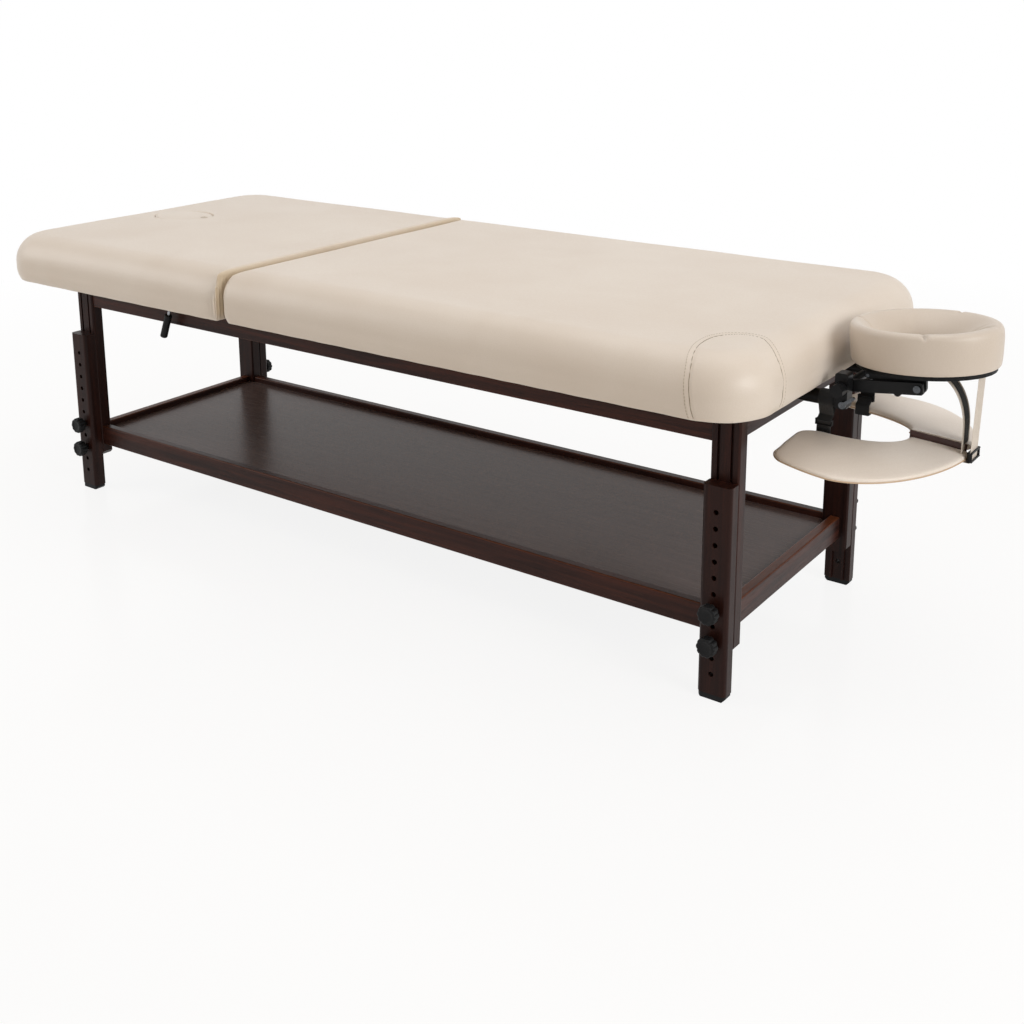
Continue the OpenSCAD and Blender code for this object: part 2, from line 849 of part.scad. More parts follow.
// Brackets under the backrest's deck that hold the prop's pivots.
module prop_brackets() {
    half = prop_t / 2 + cheek_gap + cheek_t;
    drop = hinge_drop - leaf_t;
    color(steel) for (s = [-1, 1])
        translate([x_split - prop_reach, s * prop_y, hinge_z]) {
            rod_y(prop_pin_r, -half, half);
            for (c = [-1, 1]) slab_y(c > 0 ? half - cheek_t : -half, c > 0 ? half : cheek_t - half) {
                circle(prop_eye_r);
                translate([-prop_eye_r, 0]) square([2 * prop_eye_r, drop + leaf_t / 2]);
            }
            translate([-leaf_pad_l / 2, -half, drop]) cube([leaf_pad_l, 2 * half, leaf_t]);
        }
}

// Prop: two arms on the brackets' pins, joined by the bar that walks along
// the racks.
module prop_frame() {
    foot_half = rack_y + rack_t;
    color(black) translate([x_split - prop_reach, 0, hinge_z]) {
        for (s = [-1, 1]) slab_y(s * prop_y - prop_t / 2, s * prop_y + prop_t / 2) difference() {
            union() {
                circle(prop_eye_r);
                translate([-prop_reach, -prop_h / 2]) square([prop_reach, prop_h]);
                translate([-prop_reach, 0]) circle(prop_h / 2);
            }
            circle(prop_pin_r + pin_play);
        }
        translate([-prop_reach, 0, 0]) rod_y(prop_foot_r, -foot_half, foot_half);
    }
}

// Toothed racks between the two bars beside the prop.
module prop_racks() {
    l = rack_far + bar_split_in;
    x0 = rack_lead;
    profile = concat([[0, -rack_h], [0, 0]],
        [for (i = [0:tooth_n - 1]) each [[x0 + i * tooth_run, 0],
            [x0 + i * tooth_run, -tooth_deep],
            [x0 + (i + tooth_ramp_share) * tooth_run, 0]]],
        [[l, 0], [l, -rack_h]]);
    color(black) for (s = [-1, 1]) translate([x_split - rack_far, 0, rack_top])
        slab_y(s > 0 ? rack_y : -rack_y - rack_t, s > 0 ? rack_y + rack_t : -rack_y)
        polygon(profile);
}

// Release lever: a shaft through the front rail, a finger under the prop and
// a rod that turns down outside.
module release_lever() {
    outer = -rail_y - lever_out;
    color(steel) translate([lever_x, 0, lever_z]) {
        rod_y(lever_r, outer, -lever_tail);
        rod_y(collar_r, -rail_y - collar_gap - collar_t, -rail_y - collar_gap);
        rod_y(collar_r, collar_gap - bar_half, collar_gap + collar_t - bar_half);
        slab_y(-lever_tail - finger_t, -lever_tail) translate([-finger_w / 2, 0])
            square([finger_w, finger_l - cut]);
        translate([0, outer, 0]) {
            sphere(lever_elbow_r);
            rotate([0, lever_tilt, 0]) translate([0, 0, -lever_drop])
                cylinder(r = lever_r, h = lever_drop);
        }
    }
}

// Grip sleeve on the lever's rod.
module lever_grip() {
    bore = lever_r + pin_play;
    color(black) translate([lever_x, -rail_y - lever_out, lever_z])
        rotate([0, lever_tilt, 0]) translate([0, 0, -lever_drop - grip_edge])
        difference() {
            rotate_extrude() polygon([[0, 0], [grip_r - grip_edge, 0], [grip_r, grip_edge],
                [grip_r, grip_l - grip_edge], [grip_r - grip_edge, grip_l], [0, grip_l]]);
            translate([0, 0, grip_edge]) cylinder(r = bore, h = grip_l);
        }
}

// Sockets in the head end rail that take the prongs.
module prong_sockets() {
    bore = prong_r + prong_play;
    face = leg_cx[0] + rail_t / 2;
    color(steel) for (s = [-1, 1]) translate([face - prong_in, s * prong_y, prong_z])
        rotate([0, 90, 0]) difference() {
            union() {
                cylinder(r = bore + socket_wall, h = prong_in + socket_flange_t);
                translate([0, 0, prong_in]) cylinder(r = socket_flange_r, h = socket_flange_t);
            }
            translate([0, 0, -cut]) cylinder(r = bore, h = prong_in + socket_flange_t + 2 * cut);
        }
}

// Prongs with the hubs that they end in.
module prongs() {
    x0 = leg_cx[0] + rail_t / 2 - prong_in + prong_short;
    z0 = prong_z - prong_r;
    color(black) for (s = [-1, 1]) difference() {
        union() {
            translate([x0, s * prong_y, prong_z]) rotate([0, 90, 0])
                cylinder(r = prong_r, h = hub_x + hub_weld - x0);
            translate([hub_x, 0, z0])
                slab_y(s * prong_y - hub_t / 2, s * prong_y + hub_t / 2)
                round_2d(hub_l, hub_top - z0, hub_r);
        }
        translate([axle_x, 0, axle_z])
            rod_y(axle_r + pin_play, s * prong_y - hub_t, s * prong_y + hub_t);
        if (s < 0) translate([hub_x + cam_in, 0, cam_z])
            rod_y(cam_pin_r + pin_play, -prong_y - hub_t, cam_pin_l - prong_y - hub_t / 2);
    }
}

// Axle through both hubs with its end caps.
module cradle_axle() {
    face = prong_y + hub_t / 2 + cap_gap;
    color(black) translate([axle_x, 0, axle_z]) {
        rod_y(axle_r, -face - cap_l / 2, face + cap_l / 2);
        for (s = [-1, 1]) rod_y(cap_r, s > 0 ? face : -face - cap_l, s > 0 ? face + cap_l : -face);
    }
}

// Small cam lever that locks the arms, on a pin in the near hub.
module cam_lever() {
    face = prong_y + hub_t / 2;
    color(steel) translate([hub_x + cam_in, 0, cam_z]) {
        rod_y(cam_pin_r, -face - cam_gap - cam_t, cam_pin_l - face - cut);
        slab_y(-face - cam_gap - cam_t, -face - cam_gap) {
            circle(cam_r);
            rotate(cam_rise) translate([0, -cam_w / 2]) square([cam_l - cam_w / 2, cam_w]);
            rotate(cam_rise) translate([cam_l - cam_w / 2, 0]) circle(cam_w / 2);
        }
    }
}

// Two arms from the axle to the tilt pins, tied by a rod.
module cradle_arms() {
    l = norm([arm_run, arm_rise]);
    rise = atan2(arm_rise, arm_run);
    color(black) translate([axle_x, 0, axle_z]) {
        for (s = [-1, 1])
            slab_y(s > 0 ? arm_in : -arm_in - arm_t, s > 0 ? arm_in + arm_t : -arm_in)
            rotate(rise) difference() {
                union() {
                    circle(arm_eye_r);
                    translate([0, -arm_h / 2]) round_2d(l + arm_over, arm_h, arm_corner_r);
                    translate([l * nub_share, nub_sink - arm_h / 2]) circle(nub_r);
                }
                circle(axle_r + pin_play);
                translate([l, 0]) circle(tip_pin_r + pin_play);
            }
        translate([arm_run * tie_share, 0, arm_rise * tie_share])
            rod_y(tie_r, -arm_in - arm_t / 2, arm_in + arm_t / 2);
    }
}

// Frame of the cradle's plate: origin at the middle of its underside,
// leaning with the ring.
module at_plate() {
    translate([ring_cx, 0, plate_z]) rotate([0, -ring_tilt, 0]) children();
}

// The tilt pin's place in that frame.
function tip_in_plate() = let(dx = tip_x - ring_cx, dz = tip_z - plate_z)
    [dx * cos(ring_tilt) + dz * sin(ring_tilt), dz * cos(ring_tilt) - dx * sin(ring_tilt)];

// Brackets under the plate: a flange and a cheek on each side of the face
// hole, inside the arms.
module tilt_bracket() {
    tip = tip_in_plate();
    color(black) at_plate() {
        for (s = [-1, 1]) {
            translate([base_x0, s > 0 ? cheek_in - base_flange : -cheek_in - arm_t, -base_t])
                cube([base_x1 - base_x0, arm_t + base_flange, base_t]);
            slab_y(s > 0 ? cheek_in : -cheek_in - arm_t, s > 0 ? cheek_in + arm_t : -cheek_in)
            difference() {
                union() {
                    translate(tip) circle(cheek_lobe_r);
                    polygon([[base_x0, -base_t / 2], [base_x0, -base_t - cheek_drop],
                        tip - cheek_lobe_r * cheek_foot_shares,
                        tip + [cheek_lobe_r, 0], [tip[0] + cheek_lobe_r, -base_t / 2]]);
                }
                translate(tip) circle(tip_pin_r + pin_play);
            }
        }
    }
}

// Tilt pins and the bolt heads on the bracket.
module cradle_pins() {
    tip = tip_in_plate();
    outer = arm_in + arm_t + cam_gap;
    face = cheek_in + arm_t;
    color(steel) at_plate() for (s = [-1, 1]) {
        translate([tip[0], 0, tip[1]]) {
            rod_y(tip_pin_r, s > 0 ? cheek_in : -outer - bolt_head_t / 2,
                s > 0 ? outer + bolt_head_t / 2 : -cheek_in);
            rod_y(bolt_head_r, s > 0 ? outer : -outer - bolt_head_t,
                s > 0 ? outer + bolt_head_t : -outer);
        }
        translate([base_x0 + small_head_r, 0, -base_t - cheek_drop / 2])
            rod_y(cheek_drop / 2, s > 0 ? face : -face - arm_gap / 2,
                s > 0 ? face + arm_gap / 2 : -face);
    }
}

// Outer outline of the ring at angle a, drawn in by g.
function ring_outer(a, g) = [(ring_l / 2 - g) * cos(a), (ring_w / 2 - g) * sin(a)];

// Inner outline of the ring at angle a, grown by g.
function ring_inner(a, g) = [hole_dx + (hole_a + g) * cos(a), (hole_b + g) * sin(a)];

// Horseshoe plate under the cradle's cushion.
module cradle_plate() {
    last = 180 - ring_open;
    color(black) at_plate() linear_extrude(plate_t) polygon(concat(
        [for (i = [0:ring_n]) ring_outer(last * (2 * i / ring_n - 1), plate_in)],
        [for (i = [0:ring_n]) ring_inner(last * (1 - 2 * i / ring_n), hole_clear)]));
}

function arc_pts(cx, cz, r, a0, a1, n) = [for (i = [0:n]) let(a = a0 + (a1 - a0) * i / n)
    [cx + r * cos(a), cz + r * sin(a)]];

// Padded section of width w and height t: round below with radius r0, its
// inner top edge rolled with r1 and its outer one with r2, crowned by c.
function pad_section(w, t, r0, r1, r2, c) = concat(
    arc_pts(r0, r0, r0, 180, 270, 2), arc_pts(w - r0, r0, r0, 270, 360, 2),
    arc_pts(w - r2, t - r2, r2, 0, 90, 4), [[w / 2, t + c]],
    arc_pts(r1, t - r1, r1, 90, 180, 4));

// Section placed between an inner and an outer point of the plan, drawn
// towards its own middle by the factor k.
function place_section(p, q, t, r0, r1, r2, c, k) =
    let(w = norm(q - p), d = (q - p) / w)
    [for (v = pad_section(w, t, r0, r1, r2, c)) let(u = w / 2 + (v[0] - w / 2) * k)
        [p[0] + d[0] * u, p[1] + d[1] * u, t / 2 + (v[1] - t / 2) * k]];

// Horseshoe cushion: the padded section carried round the ring, its two
// tips drawn in.
module cradle_cushion() {
    last = 180 - ring_open;
    tip_turn = asin(tip_round / ring_w * 2);
    stops = concat([[last, tip_shrink_share]],
        [for (i = [0:ring_n]) [(last - tip_turn) * (1 - 2 * i / ring_n), 1]],
        [[-last, tip_shrink_share]]);
    rings = [for (s = stops) place_section(ring_inner(s[0], 0), ring_outer(s[0], 0), ring_t,
        ring_under, min(ring_inner_roll, ring_tips / 2), ring_edge, ring_crown, s[1])];
    color(vinyl) at_plate() translate([0, 0, plate_t])
        polyhedron([for (r = rings) each r], skin(len(rings), len(rings[0])));
}

// Frame of an armrest half on the fold's middle, +Y outward.
module at_half(side) {
    droop = side > 0 ? far_droop : near_droop;
    lift = side > 0 ? far_rise : 0;
    translate([fold_x, 0, arm_z]) rotate([0, arm_slope, 0]) translate([0, 0, lift])
        mirror([0, side < 0 ? 1 : 0, 0]) rotate([-droop, 0, 0]) children();
}

// Height of a half's top at a place of the plan.
function half_top(x, y, side) = arm_z + (side > 0 ? far_rise : 0)
    - (x - fold_x) * tan(arm_slope)
    - abs(y) * tan(side > 0 ? far_droop : near_droop) / cos(arm_slope);

// Outer edge of a half: a full curve that narrows to the fold. The share s
// runs from the table side to the fold.
function half_outer(s) =
    let(a0 = acos(pow(belly / belly_a, outer_power / 2)), a = 180 - a0 - s * (180 - a0),
        c = cos(a), e = 2 / outer_power)
    [half_x0 + belly + (c < 0 ? -belly_a : half_l - belly) * pow(abs(c), e),
        half_w * pow(abs(sin(a)), e)];

// Inner edge of a half: the flared start, then a quarter of an ellipse.
function half_inner(i) = let(q = 1 - i / flare_n,
        a = 90 * (1 - (i - flare_n) / (half_n - flare_n)))
    i < flare_n ? [half_x0 + notch_start * (1 - q), notch_b + notch_flare * q * q]
        : [half_x0 + notch_start + notch_a * cos(a), notch_b * sin(a)];

// Padded half, made at the far side; its table edge is thinned.
module armrest_form(gap) {
    stops = concat([-1], [for (i = [0:half_n]) i]);
    rings = [for (s = stops) let(i = max(s, 0), k = s < 0 ? half_thin_share : 1,
            dx = s < 0 ? 0 : half_edge * (1 - i / half_n))
        [for (v = place_section(half_inner(i), half_outer(i / half_n), half_t,
                half_edge / 2, half_edge, half_edge, half_crown, 1))
            [v[0] + dx, v[1] + gap, half_t / 2 + (v[2] - half_t / 2) * k]]];
    translate([0, 0, -half_t])
        polyhedron([for (r = rings) each r], skin(len(rings), len(rings[0])));
}

module armrest_near() {
    color(vinyl) at_half(-1) armrest_form(near_gap);
}

module armrest_far() {
    color(vinyl) at_half(1) armrest_form(far_gap);
}

// Fabric on the far half's folding edge, which is the fold's hinge.
module armrest_hinge() {
    x0 = half_x0 + notch_start + notch_a;
    color(black) at_half(1) translate([x0, far_gap - fold_fabric_t, -half_t])
        cube([fold_out - x0 - half_edge, fold_fabric_t, half_t - half_edge]);
}

// Webbing loop round a prong, in the Y and Z plane with the prong's centre
// as origin and the table's middle to the left.
module loop_2d() {
    r1 = prong_r + loop_gap;
    r2 = r1 + strap_t;
    p = [-loop_shift, -loop_drop];
    pa = atan2(p[1], p[0]);
    ph = acos(r1 / norm(p));
    difference() {
        circle(r2);
        circle(r1);
        polygon(concat([[0, 0]], [for (k = [-1:1]) 3 * r2 * [cos(pa + k * ph), sin(pa + k * ph)]]));
    }
    for (k = [-1, 1]) polygon([r1 * [cos(pa + k * ph), sin(pa + k * ph)],
        r2 * [cos(pa + k * ph), sin(pa + k * ph)], p + [k * strap_t, 0], p]);
    translate(p - [strap_t, strap_straight]) square([2 * strap_t, strap_straight]);
}

// Sheared strip from p down to q, w wide along X and t thick along Y.
module strip(p, q, w, t) {
    polyhedron([for (c = [p, q]) for (m = [[-1, -1], [1, -1], [1, 1], [-1, 1]])
        c + [m[0] * w / 2, m[1] * t / 2, 0]],
        [[3, 2, 1, 0], [4, 5, 6, 7], [1, 5, 4, 0], [2, 6, 5, 1], [3, 7, 6, 2], [0, 4, 7, 3]]);
}

// Black straps from the prongs to the inner edges of the armrest's halves,
// each with a hook under its half.
module side_straps() {
    color(black) for (s = [-1, 1]) {
        droop = s > 0 ? far_droop : near_droop;
        foot = half_top(web_foot_x, web_foot_y, s) - half_t - strap_clear
            - hook_l * tan(droop) - web_w / 2 * tan(arm_slope);
        bend = half_top(web_foot_x - web_w / 2, web_foot_y, s) + strap_over;
        translate([web_x - web_w / 2, s * prong_y, prong_z]) mirror([0, s < 0 ? 1 : 0, 0])
            rotate([90, 0, 90]) linear_extrude(web_w) loop_2d();
        strip([web_x, s * (prong_y - loop_shift), prong_z - loop_drop - strap_straight],
            [web_foot_x, s * web_foot_y, bend], web_w, 2 * strap_t);
        translate([web_foot_x - web_w / 2, s * web_foot_y - strap_t, foot - strap_t])
            cube([web_w, 2 * strap_t, bend - foot + strap_t]);
        translate([web_foot_x - web_w / 2,
            s > 0 ? web_foot_y - strap_t : -web_foot_y + strap_t - hook_l, foot - strap_t])
            cube([web_w, hook_l, strap_t]);
    }
}

// Underside of the cradle's plate above a place along X.
function plate_under(x) = plate_z + (x - ring_cx) * tan(ring_tilt);

// Lower end of the front strap, under the armrest's outer end.
function front_foot_z() = arm_z - fold_out * tan(arm_slope) - half_t - strap_clear
    - front_strap_w / 2 * tan(near_droop);

// Pale strap from the plate down to the armrest's outer end; its other end
// runs back under the plate, folds over and curves down to the far half.
module front_strap() {
    foot = front_foot_z();
    top = plate_under(front_top_x) - strap_clear;
    h = strap_t / 2;
    a = arc_foot_x - arc_top_x;
    back = plate_under(arc_top_x) - strap_clear;
    b = back - strap_fold - h - arc_side_z;
    low = half_top(arc_foot_x, 0, 1) + strap_clear;
    color(vinyl) slab_y(-front_strap_w / 2, front_strap_w / 2) {
        polygon([[front_top_x - h, top], [front_top_x + h, top],
            [front_foot_x + h, foot - strap_t], [front_foot_x - front_hook_l, foot - strap_t],
            [front_foot_x - front_hook_l, foot], [front_foot_x - h, foot]]);
        polygon([[arc_top_x - strap_t, back], [front_top_x, top], [front_top_x, top - strap_t],
            [arc_top_x, back - strap_t], [arc_top_x, back - strap_fold - strap_t],
            [arc_top_x - strap_t, back - strap_fold - strap_t]]);
        polygon(concat(
            [for (i = [0:arc_n]) [arc_top_x + (a + h) * sin(i * 90 / arc_n),
                arc_side_z + (b + h) * cos(i * 90 / arc_n)]],
            [[arc_foot_x + h, low], [arc_foot_x - h, low]],
            [for (i = [arc_n:-1:0]) [arc_top_x + (a - h) * sin(i * 90 / arc_n),
                arc_side_z + (b - h) * cos(i * 90 / arc_n)]]));
    }
}

// Frame round a strap: a w by t opening with walls all round.
module lock_frame(w, t, h) {
    linear_extrude(h) difference() {
        square([w + 2 * lock_wall, t + 2 * lock_wall], center = true);
        square([w, t], center = true);
    }
}

// Buckles: one on each side strap and one at the front strap's foot.
module strap_buckles() {
    color(black) {
        for (s = [-1, 1]) translate([web_x, s * (prong_y - loop_shift),
            prong_z - loop_drop - (strap_straight + lock_h) / 2])
            lock_frame(web_w + 2 * strap_clear, 2 * (strap_t + strap_clear), lock_h);
        translate([front_foot_x + strap_clear, 0, front_foot_z() + strap_t])
            lock_frame(strap_t + 4 * strap_clear, front_strap_w + 2 * strap_clear, front_lock_h);
    }
}

post(-1, 0);  // post_front_head
post(-1, 1);  // post_front_foot
post(1, 0);  // post_back_head
post(1, 1);  // post_back_foot
top_rail_front();
top_rail_back();
top_end_rails();
cross_bars();
shelf_rail(-1);  // shelf_rail_front
shelf_rail(1);  // shelf_rail_back
shelf_end_rails();
shelf_panel();
shelf_cleats();
deck_long();
cushion_long();
frame_dowels();
leg_studs();
hinge_leaves_fixed();
prop_racks();
prong_sockets();
slider(-1, 0);  // slider_front_head
slider(-1, 1);  // slider_front_foot
slider(1, 0);  // slider_back_head
slider(1, 1);  // slider_back_foot
glide(-1, 0);  // glide_front_head
glide(-1, 1);  // glide_front_foot
glide(1, 0);  // glide_back_head
glide(1, 1);  // glide_back_foot
knob(-1, 0, upper_hole);  // knob_front_head_upper
knob(-1, 0, lower_hole);  // knob_front_head_lower
knob(-1, 1, upper_hole);  // knob_front_foot_upper
knob(-1, 1, lower_hole);  // knob_front_foot_lower
knob(1, 0, upper_hole);  // knob_back_head_upper
knob(1, 0, lower_hole);  // knob_back_head_lower
knob(1, 1, upper_hole);  // knob_back_foot_upper
knob(1, 1, lower_hole);  // knob_back_foot_lower
deck_back();
cushion_back();
cushion_back_edge();
hinge_leaves_moving();
prop_brackets();
hole_plug();
prop_frame();
release_lever();
lever_grip();
prongs();
cradle_axle();
cam_lever();
cradle_arms();
cradle_pins();
tilt_bracket();
cradle_plate();
cradle_cushion();
armrest_near();
armrest_far();
armrest_hinge();
side_straps();
front_strap();
strap_buckles();
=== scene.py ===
"""Stationary massage table: upholstery, straps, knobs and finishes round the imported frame.

All shapes are worked out in millimetres in the part's own frame and put into meshes in metres.
"""

import json
import math
from itertools import product
from types import SimpleNamespace

import bmesh
import bpy
import numpy as np
from bpy.props import FloatProperty, FloatVectorProperty, IntProperty, PointerProperty
from mathutils import Matrix, Vector
from mathutils.bvhtree import BVHTree


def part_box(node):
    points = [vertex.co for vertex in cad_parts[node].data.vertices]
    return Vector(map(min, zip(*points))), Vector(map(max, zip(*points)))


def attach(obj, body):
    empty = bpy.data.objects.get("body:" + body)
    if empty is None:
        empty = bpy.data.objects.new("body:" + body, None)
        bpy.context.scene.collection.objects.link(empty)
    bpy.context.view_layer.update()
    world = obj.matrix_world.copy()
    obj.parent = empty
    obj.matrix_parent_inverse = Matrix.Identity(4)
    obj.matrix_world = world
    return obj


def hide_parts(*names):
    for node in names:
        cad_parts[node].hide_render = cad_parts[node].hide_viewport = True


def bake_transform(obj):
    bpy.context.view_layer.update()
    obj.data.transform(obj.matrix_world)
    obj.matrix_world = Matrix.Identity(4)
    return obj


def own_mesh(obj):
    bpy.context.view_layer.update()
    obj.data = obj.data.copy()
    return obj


bl_info = {
    "name": "Massage Table",
    "version": (1, 0, 0),
    "blender": (4, 5, 0),
    "location": "View3D > Sidebar > Massage Table",
    "description": "Dresses the packed frame of a stationary massage table",
    "category": "Object",
}

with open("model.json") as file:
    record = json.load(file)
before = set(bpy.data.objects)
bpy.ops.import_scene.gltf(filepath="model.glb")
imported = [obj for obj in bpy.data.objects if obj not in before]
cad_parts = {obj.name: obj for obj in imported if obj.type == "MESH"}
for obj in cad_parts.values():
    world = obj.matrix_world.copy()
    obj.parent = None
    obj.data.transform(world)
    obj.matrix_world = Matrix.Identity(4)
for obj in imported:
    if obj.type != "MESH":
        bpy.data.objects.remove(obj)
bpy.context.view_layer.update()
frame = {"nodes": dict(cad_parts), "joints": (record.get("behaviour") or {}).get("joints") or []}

MM = 0.001


def box_mm(node_name):
    """Lowest and highest corner of a CAD node in millimetres."""
    low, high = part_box(node_name)
    return np.array(low) / MM, np.array(high) / MM


def joint(name):
    """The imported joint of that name."""
    return next(j for j in frame["joints"] if j["name"] == name)


LONG_LOW, LONG_HIGH = box_mm("cushion_long")
BACK_LOW, BACK_HIGH = box_mm("cushion_back")
EDGE_LOW, EDGE_HIGH = box_mm("cushion_back_edge")
PLUG_LOW, PLUG_HIGH = box_mm("hole_plug")
PLATE_LOW, PLATE_HIGH = box_mm("cradle_plate")
DECK_LOW, DECK_HIGH = box_mm("deck_long")
DECK_BACK_LOW, DECK_BACK_HIGH = box_mm("deck_back")
GRIP_LOW, GRIP_HIGH = box_mm("lever_grip")
FOLD_LINE = np.array(joint("armrest_fold")["pos_m"]) / MM
LEVER_PIVOT = np.array(joint("lever_pull")["pos_m"]) / MM


def srgb(code):
    """Linear RGBA from an sRGB hex value: c/12.92 below 0.04045, else ((c + 0.055)/1.055)^2.4."""
    channels = [int(code[i:i + 2], 16) / 255 for i in (1, 3, 5)]
    return [c / 12.92 if c <= 0.04045 else ((c + 0.055) / 1.055) ** 2.4 for c in channels] + [1.0]


def length_mm(name, description, value, **limits):
    """A length property. Its default and limits are given in millimetres."""
    limits = {key: limit * MM for key, limit in limits.items()}
    return FloatProperty(name=name, description=description, default=value * MM, unit="LENGTH",
                         precision=4, **limits)


def angle_deg(name, description, value):
    """An angle property whose default is given in degrees."""
    return FloatProperty(name=name, description=description, default=math.radians(value),
                         subtype="ANGLE")


def colour(name, description, value):
    """A colour property whose default is given as an sRGB hex value."""
    return FloatVectorProperty(name=name, description=description, default=srgb(value), size=4,
                               subtype="COLOR", min=0.0, max=1.0)


class CushionSizes(bpy.types.PropertyGroup):
    """Sizes of the two table cushions."""

    thickness: length_mm("Thickness", "Foam, deck and cover", BACK_HIGH[2] - BACK_LOW[2], min=60)
    corner: length_mm("Corner radius", "Outer corners from above", 100, min=30)
    roll: length_mm("Edge roll", "Radius of the rolled top edges", 62, min=20)
    split_roll: length_mm("Split roll", "Roll of the fixed cushion's split end", 42)
    back_roll: length_mm("Back roll", "Roll of the backrest's split end", 10)
    split_corner: length_mm("Split corner", "Fixed cushion's corners at the split", 30)
    back_corner: length_mm("Back corner", "Backrest's corners at the split", 10)
    crown: length_mm("Crown", "Rise of the middle over the edges", 5)
    tuck: length_mm("Tuck", "How far the cover is drawn in at its foot", 7)
    tuck_rise: length_mm("Tuck rise", "Height over which it is drawn in", 28)
    waist: length_mm("Waist", "How far a side bows in between its corners", 3)
    seam_depth: length_mm("Seam depth", "Depth of a seam's valley", 1.3)
    stitch: length_mm("Stitch pitch", "Distance between stitches", 5.5, min=2)


class CradleSizes(bpy.types.PropertyGroup):
    """Sizes of the face cradle's ring."""

    length: length_mm("Length", "Ring along the table", 245)
    width: length_mm("Width", "Ring across the table", 212)
    thickness: length_mm("Thickness", "Height of the padding", 66)
    brow: length_mm("Brow", "Width of the padding at the forehead", 79)
    side: length_mm("Side", "Width of the padding at the sides", 60)
    tips: length_mm("Tips", "Width of the padding at the two tips", 49)
    plate_edge: length_mm("Plate edge", "Plate's edge inside the ring's edge", 9)
    plate: length_mm("Plate", "Thickness of the plate", 8)
    tilt: angle_deg("Tilt", "Upward tilt of the ring", 3.2)
    opening: angle_deg("Opening", "Half the gap between the tips", 0.5)


class ArmrestSizes(bpy.types.PropertyGroup):
    """Sizes of the hanging armrest and its straps."""

    length: length_mm("Length", "Armrest along the table", 262)
    half: length_mm("Half", "Width of one half", 227)
    thickness: length_mm("Thickness", "Thickness of a half", 11)
    outer_corner: length_mm("Outer corner", "Corner radius at the table side", 26)
    inner_corner: length_mm("Inner corner", "Corner radius at the notch", 15)
    slope: angle_deg("Slope", "Slope down to the outer end", 4)
    near_droop: angle_deg("Near droop", "Droop of the near half", 3)
    far_droop: angle_deg("Far droop", "Droop of the far half", 6)
    far_rise: length_mm("Far rise", "How far the far half lies higher", 13)
    webbing: length_mm("Webbing", "Width of the side straps", 25)
    front_webbing: length_mm("Front webbing", "Width of the front straps", 38)
    strap: length_mm("Strap", "Thickness of the straps", 1.6)
    prong_y: length_mm("Prong place", "Distance of a prong from the middle", 101)
    prong_z: length_mm("Prong height", "Height of the prongs", 498)
    prong_r: length_mm("Prong radius", "Radius of a prong", 12.5)


class KnobSizes(bpy.types.PropertyGroup):
    """Sizes of the leg knobs."""

    diameter: length_mm("Diameter", "Over the flutes' crests", 35)
    thickness: length_mm("Thickness", "Height of the head", 17)
    neck: length_mm("Neck", "Radius of the neck", 8)
    neck_height: length_mm("Neck height", "Height of the neck", 8)
    flutes: IntProperty(name="Flutes", description="Number of finger flutes", default=10, min=5)


class GripSizes(bpy.types.PropertyGroup):
    """Sizes of the release lever's grip."""

    radius: length_mm("Radius", "Radius of the grip", 8)
    length: length_mm("Length", "Length of the grip", 56)
    drop: length_mm("Drop", "Length of the lever's rod", 66)
    tilt: angle_deg("Tilt", "Lean of the rod", 22)


class TableColours(bpy.types.PropertyGroup):
    """Colours of the table's materials."""

    cover: colour("Cover", "Cream leatherette", "#DFD4C7")
    # cover_shade is a darker tone that the cover drifts to at random, and painted shade in the
    # grain's pores.
    cover_shade: colour("Cover shade", "Leatherette in its folds and pores", "#CFBFAE")
    # Painted shade: tan of the cord along each armrest half's lower rim, which stands for the rim's
    # shaded edge.
    painted_rim_shade: colour("Cover rim", "Bound edge of the armrest", "#C4A88A")
    # Painted shade: the cradle's cover is the cream leatherette made darker, because its ring lies
    # more in shade.
    cradle: colour("Cradle cover", "Leatherette of the cradle cushion", "#D2C6B9")
    # cradle_shade is a darker tone that the cradle's cover drifts to at random, and painted shade
    # in its grain's pores.
    cradle_shade: colour("Cradle cover shade", "Its folds and pores", "#BFAF9D")
    # Painted light: the armrest's cover is the cream made lighter, to offset the shade of the ring
    # and table over it.
    armrest: colour("Armrest cover", "Leatherette of the armrest", "#F3EADF")
    # Painted shade: tan of the backrest's split end, which lies in the gap's shade.
    pleat: colour("Pleat", "Gathered cover in the split", "#D0BD9E")
    # Painted shade: dark red-brown of the armrest's fold, which lies in shade.
    fold: colour("Fold", "Dark cover inside the armrest's fold", "#3B1A12")
    thread: colour("Thread", "Seam thread", "#9A8465")
    stitch: colour("Stitch", "Stitches beside a seam", "#C6B294")
    wood: colour("Wood", "Espresso stain", "#331D18")
    wood_dark: colour("Wood dark", "Pores and dark streaks", "#180B09")
    wood_warm: colour("Wood warm", "Reddish streaks", "#4A271D")
    # Painted highlight: the orange-brown laid on the wood's rounded edges.
    wood_edge_highlight: colour("Wood edge", "Thin stain on rounded edges", "#6B3A20")
    veneer: colour("Veneer", "Satin shelf panel", "#5B4D4A")
    black: colour("Black", "Nylon and powder coat", "#0E0E0F")
    webbing: colour("Webbing", "Black polyester", "#0D0D0E")
    metal: colour("Metal", "Zinc plate", "#A9ABAE")
    dull_metal: colour("Dull metal", "Blackened steel of the cradle's small parts", "#5C5E61")


SETTINGS = {
    "cushions": CushionSizes, "cradle": CradleSizes, "armrest": ArmrestSizes,
    "knobs": KnobSizes, "grip": GripSizes, "colours": TableColours,
}


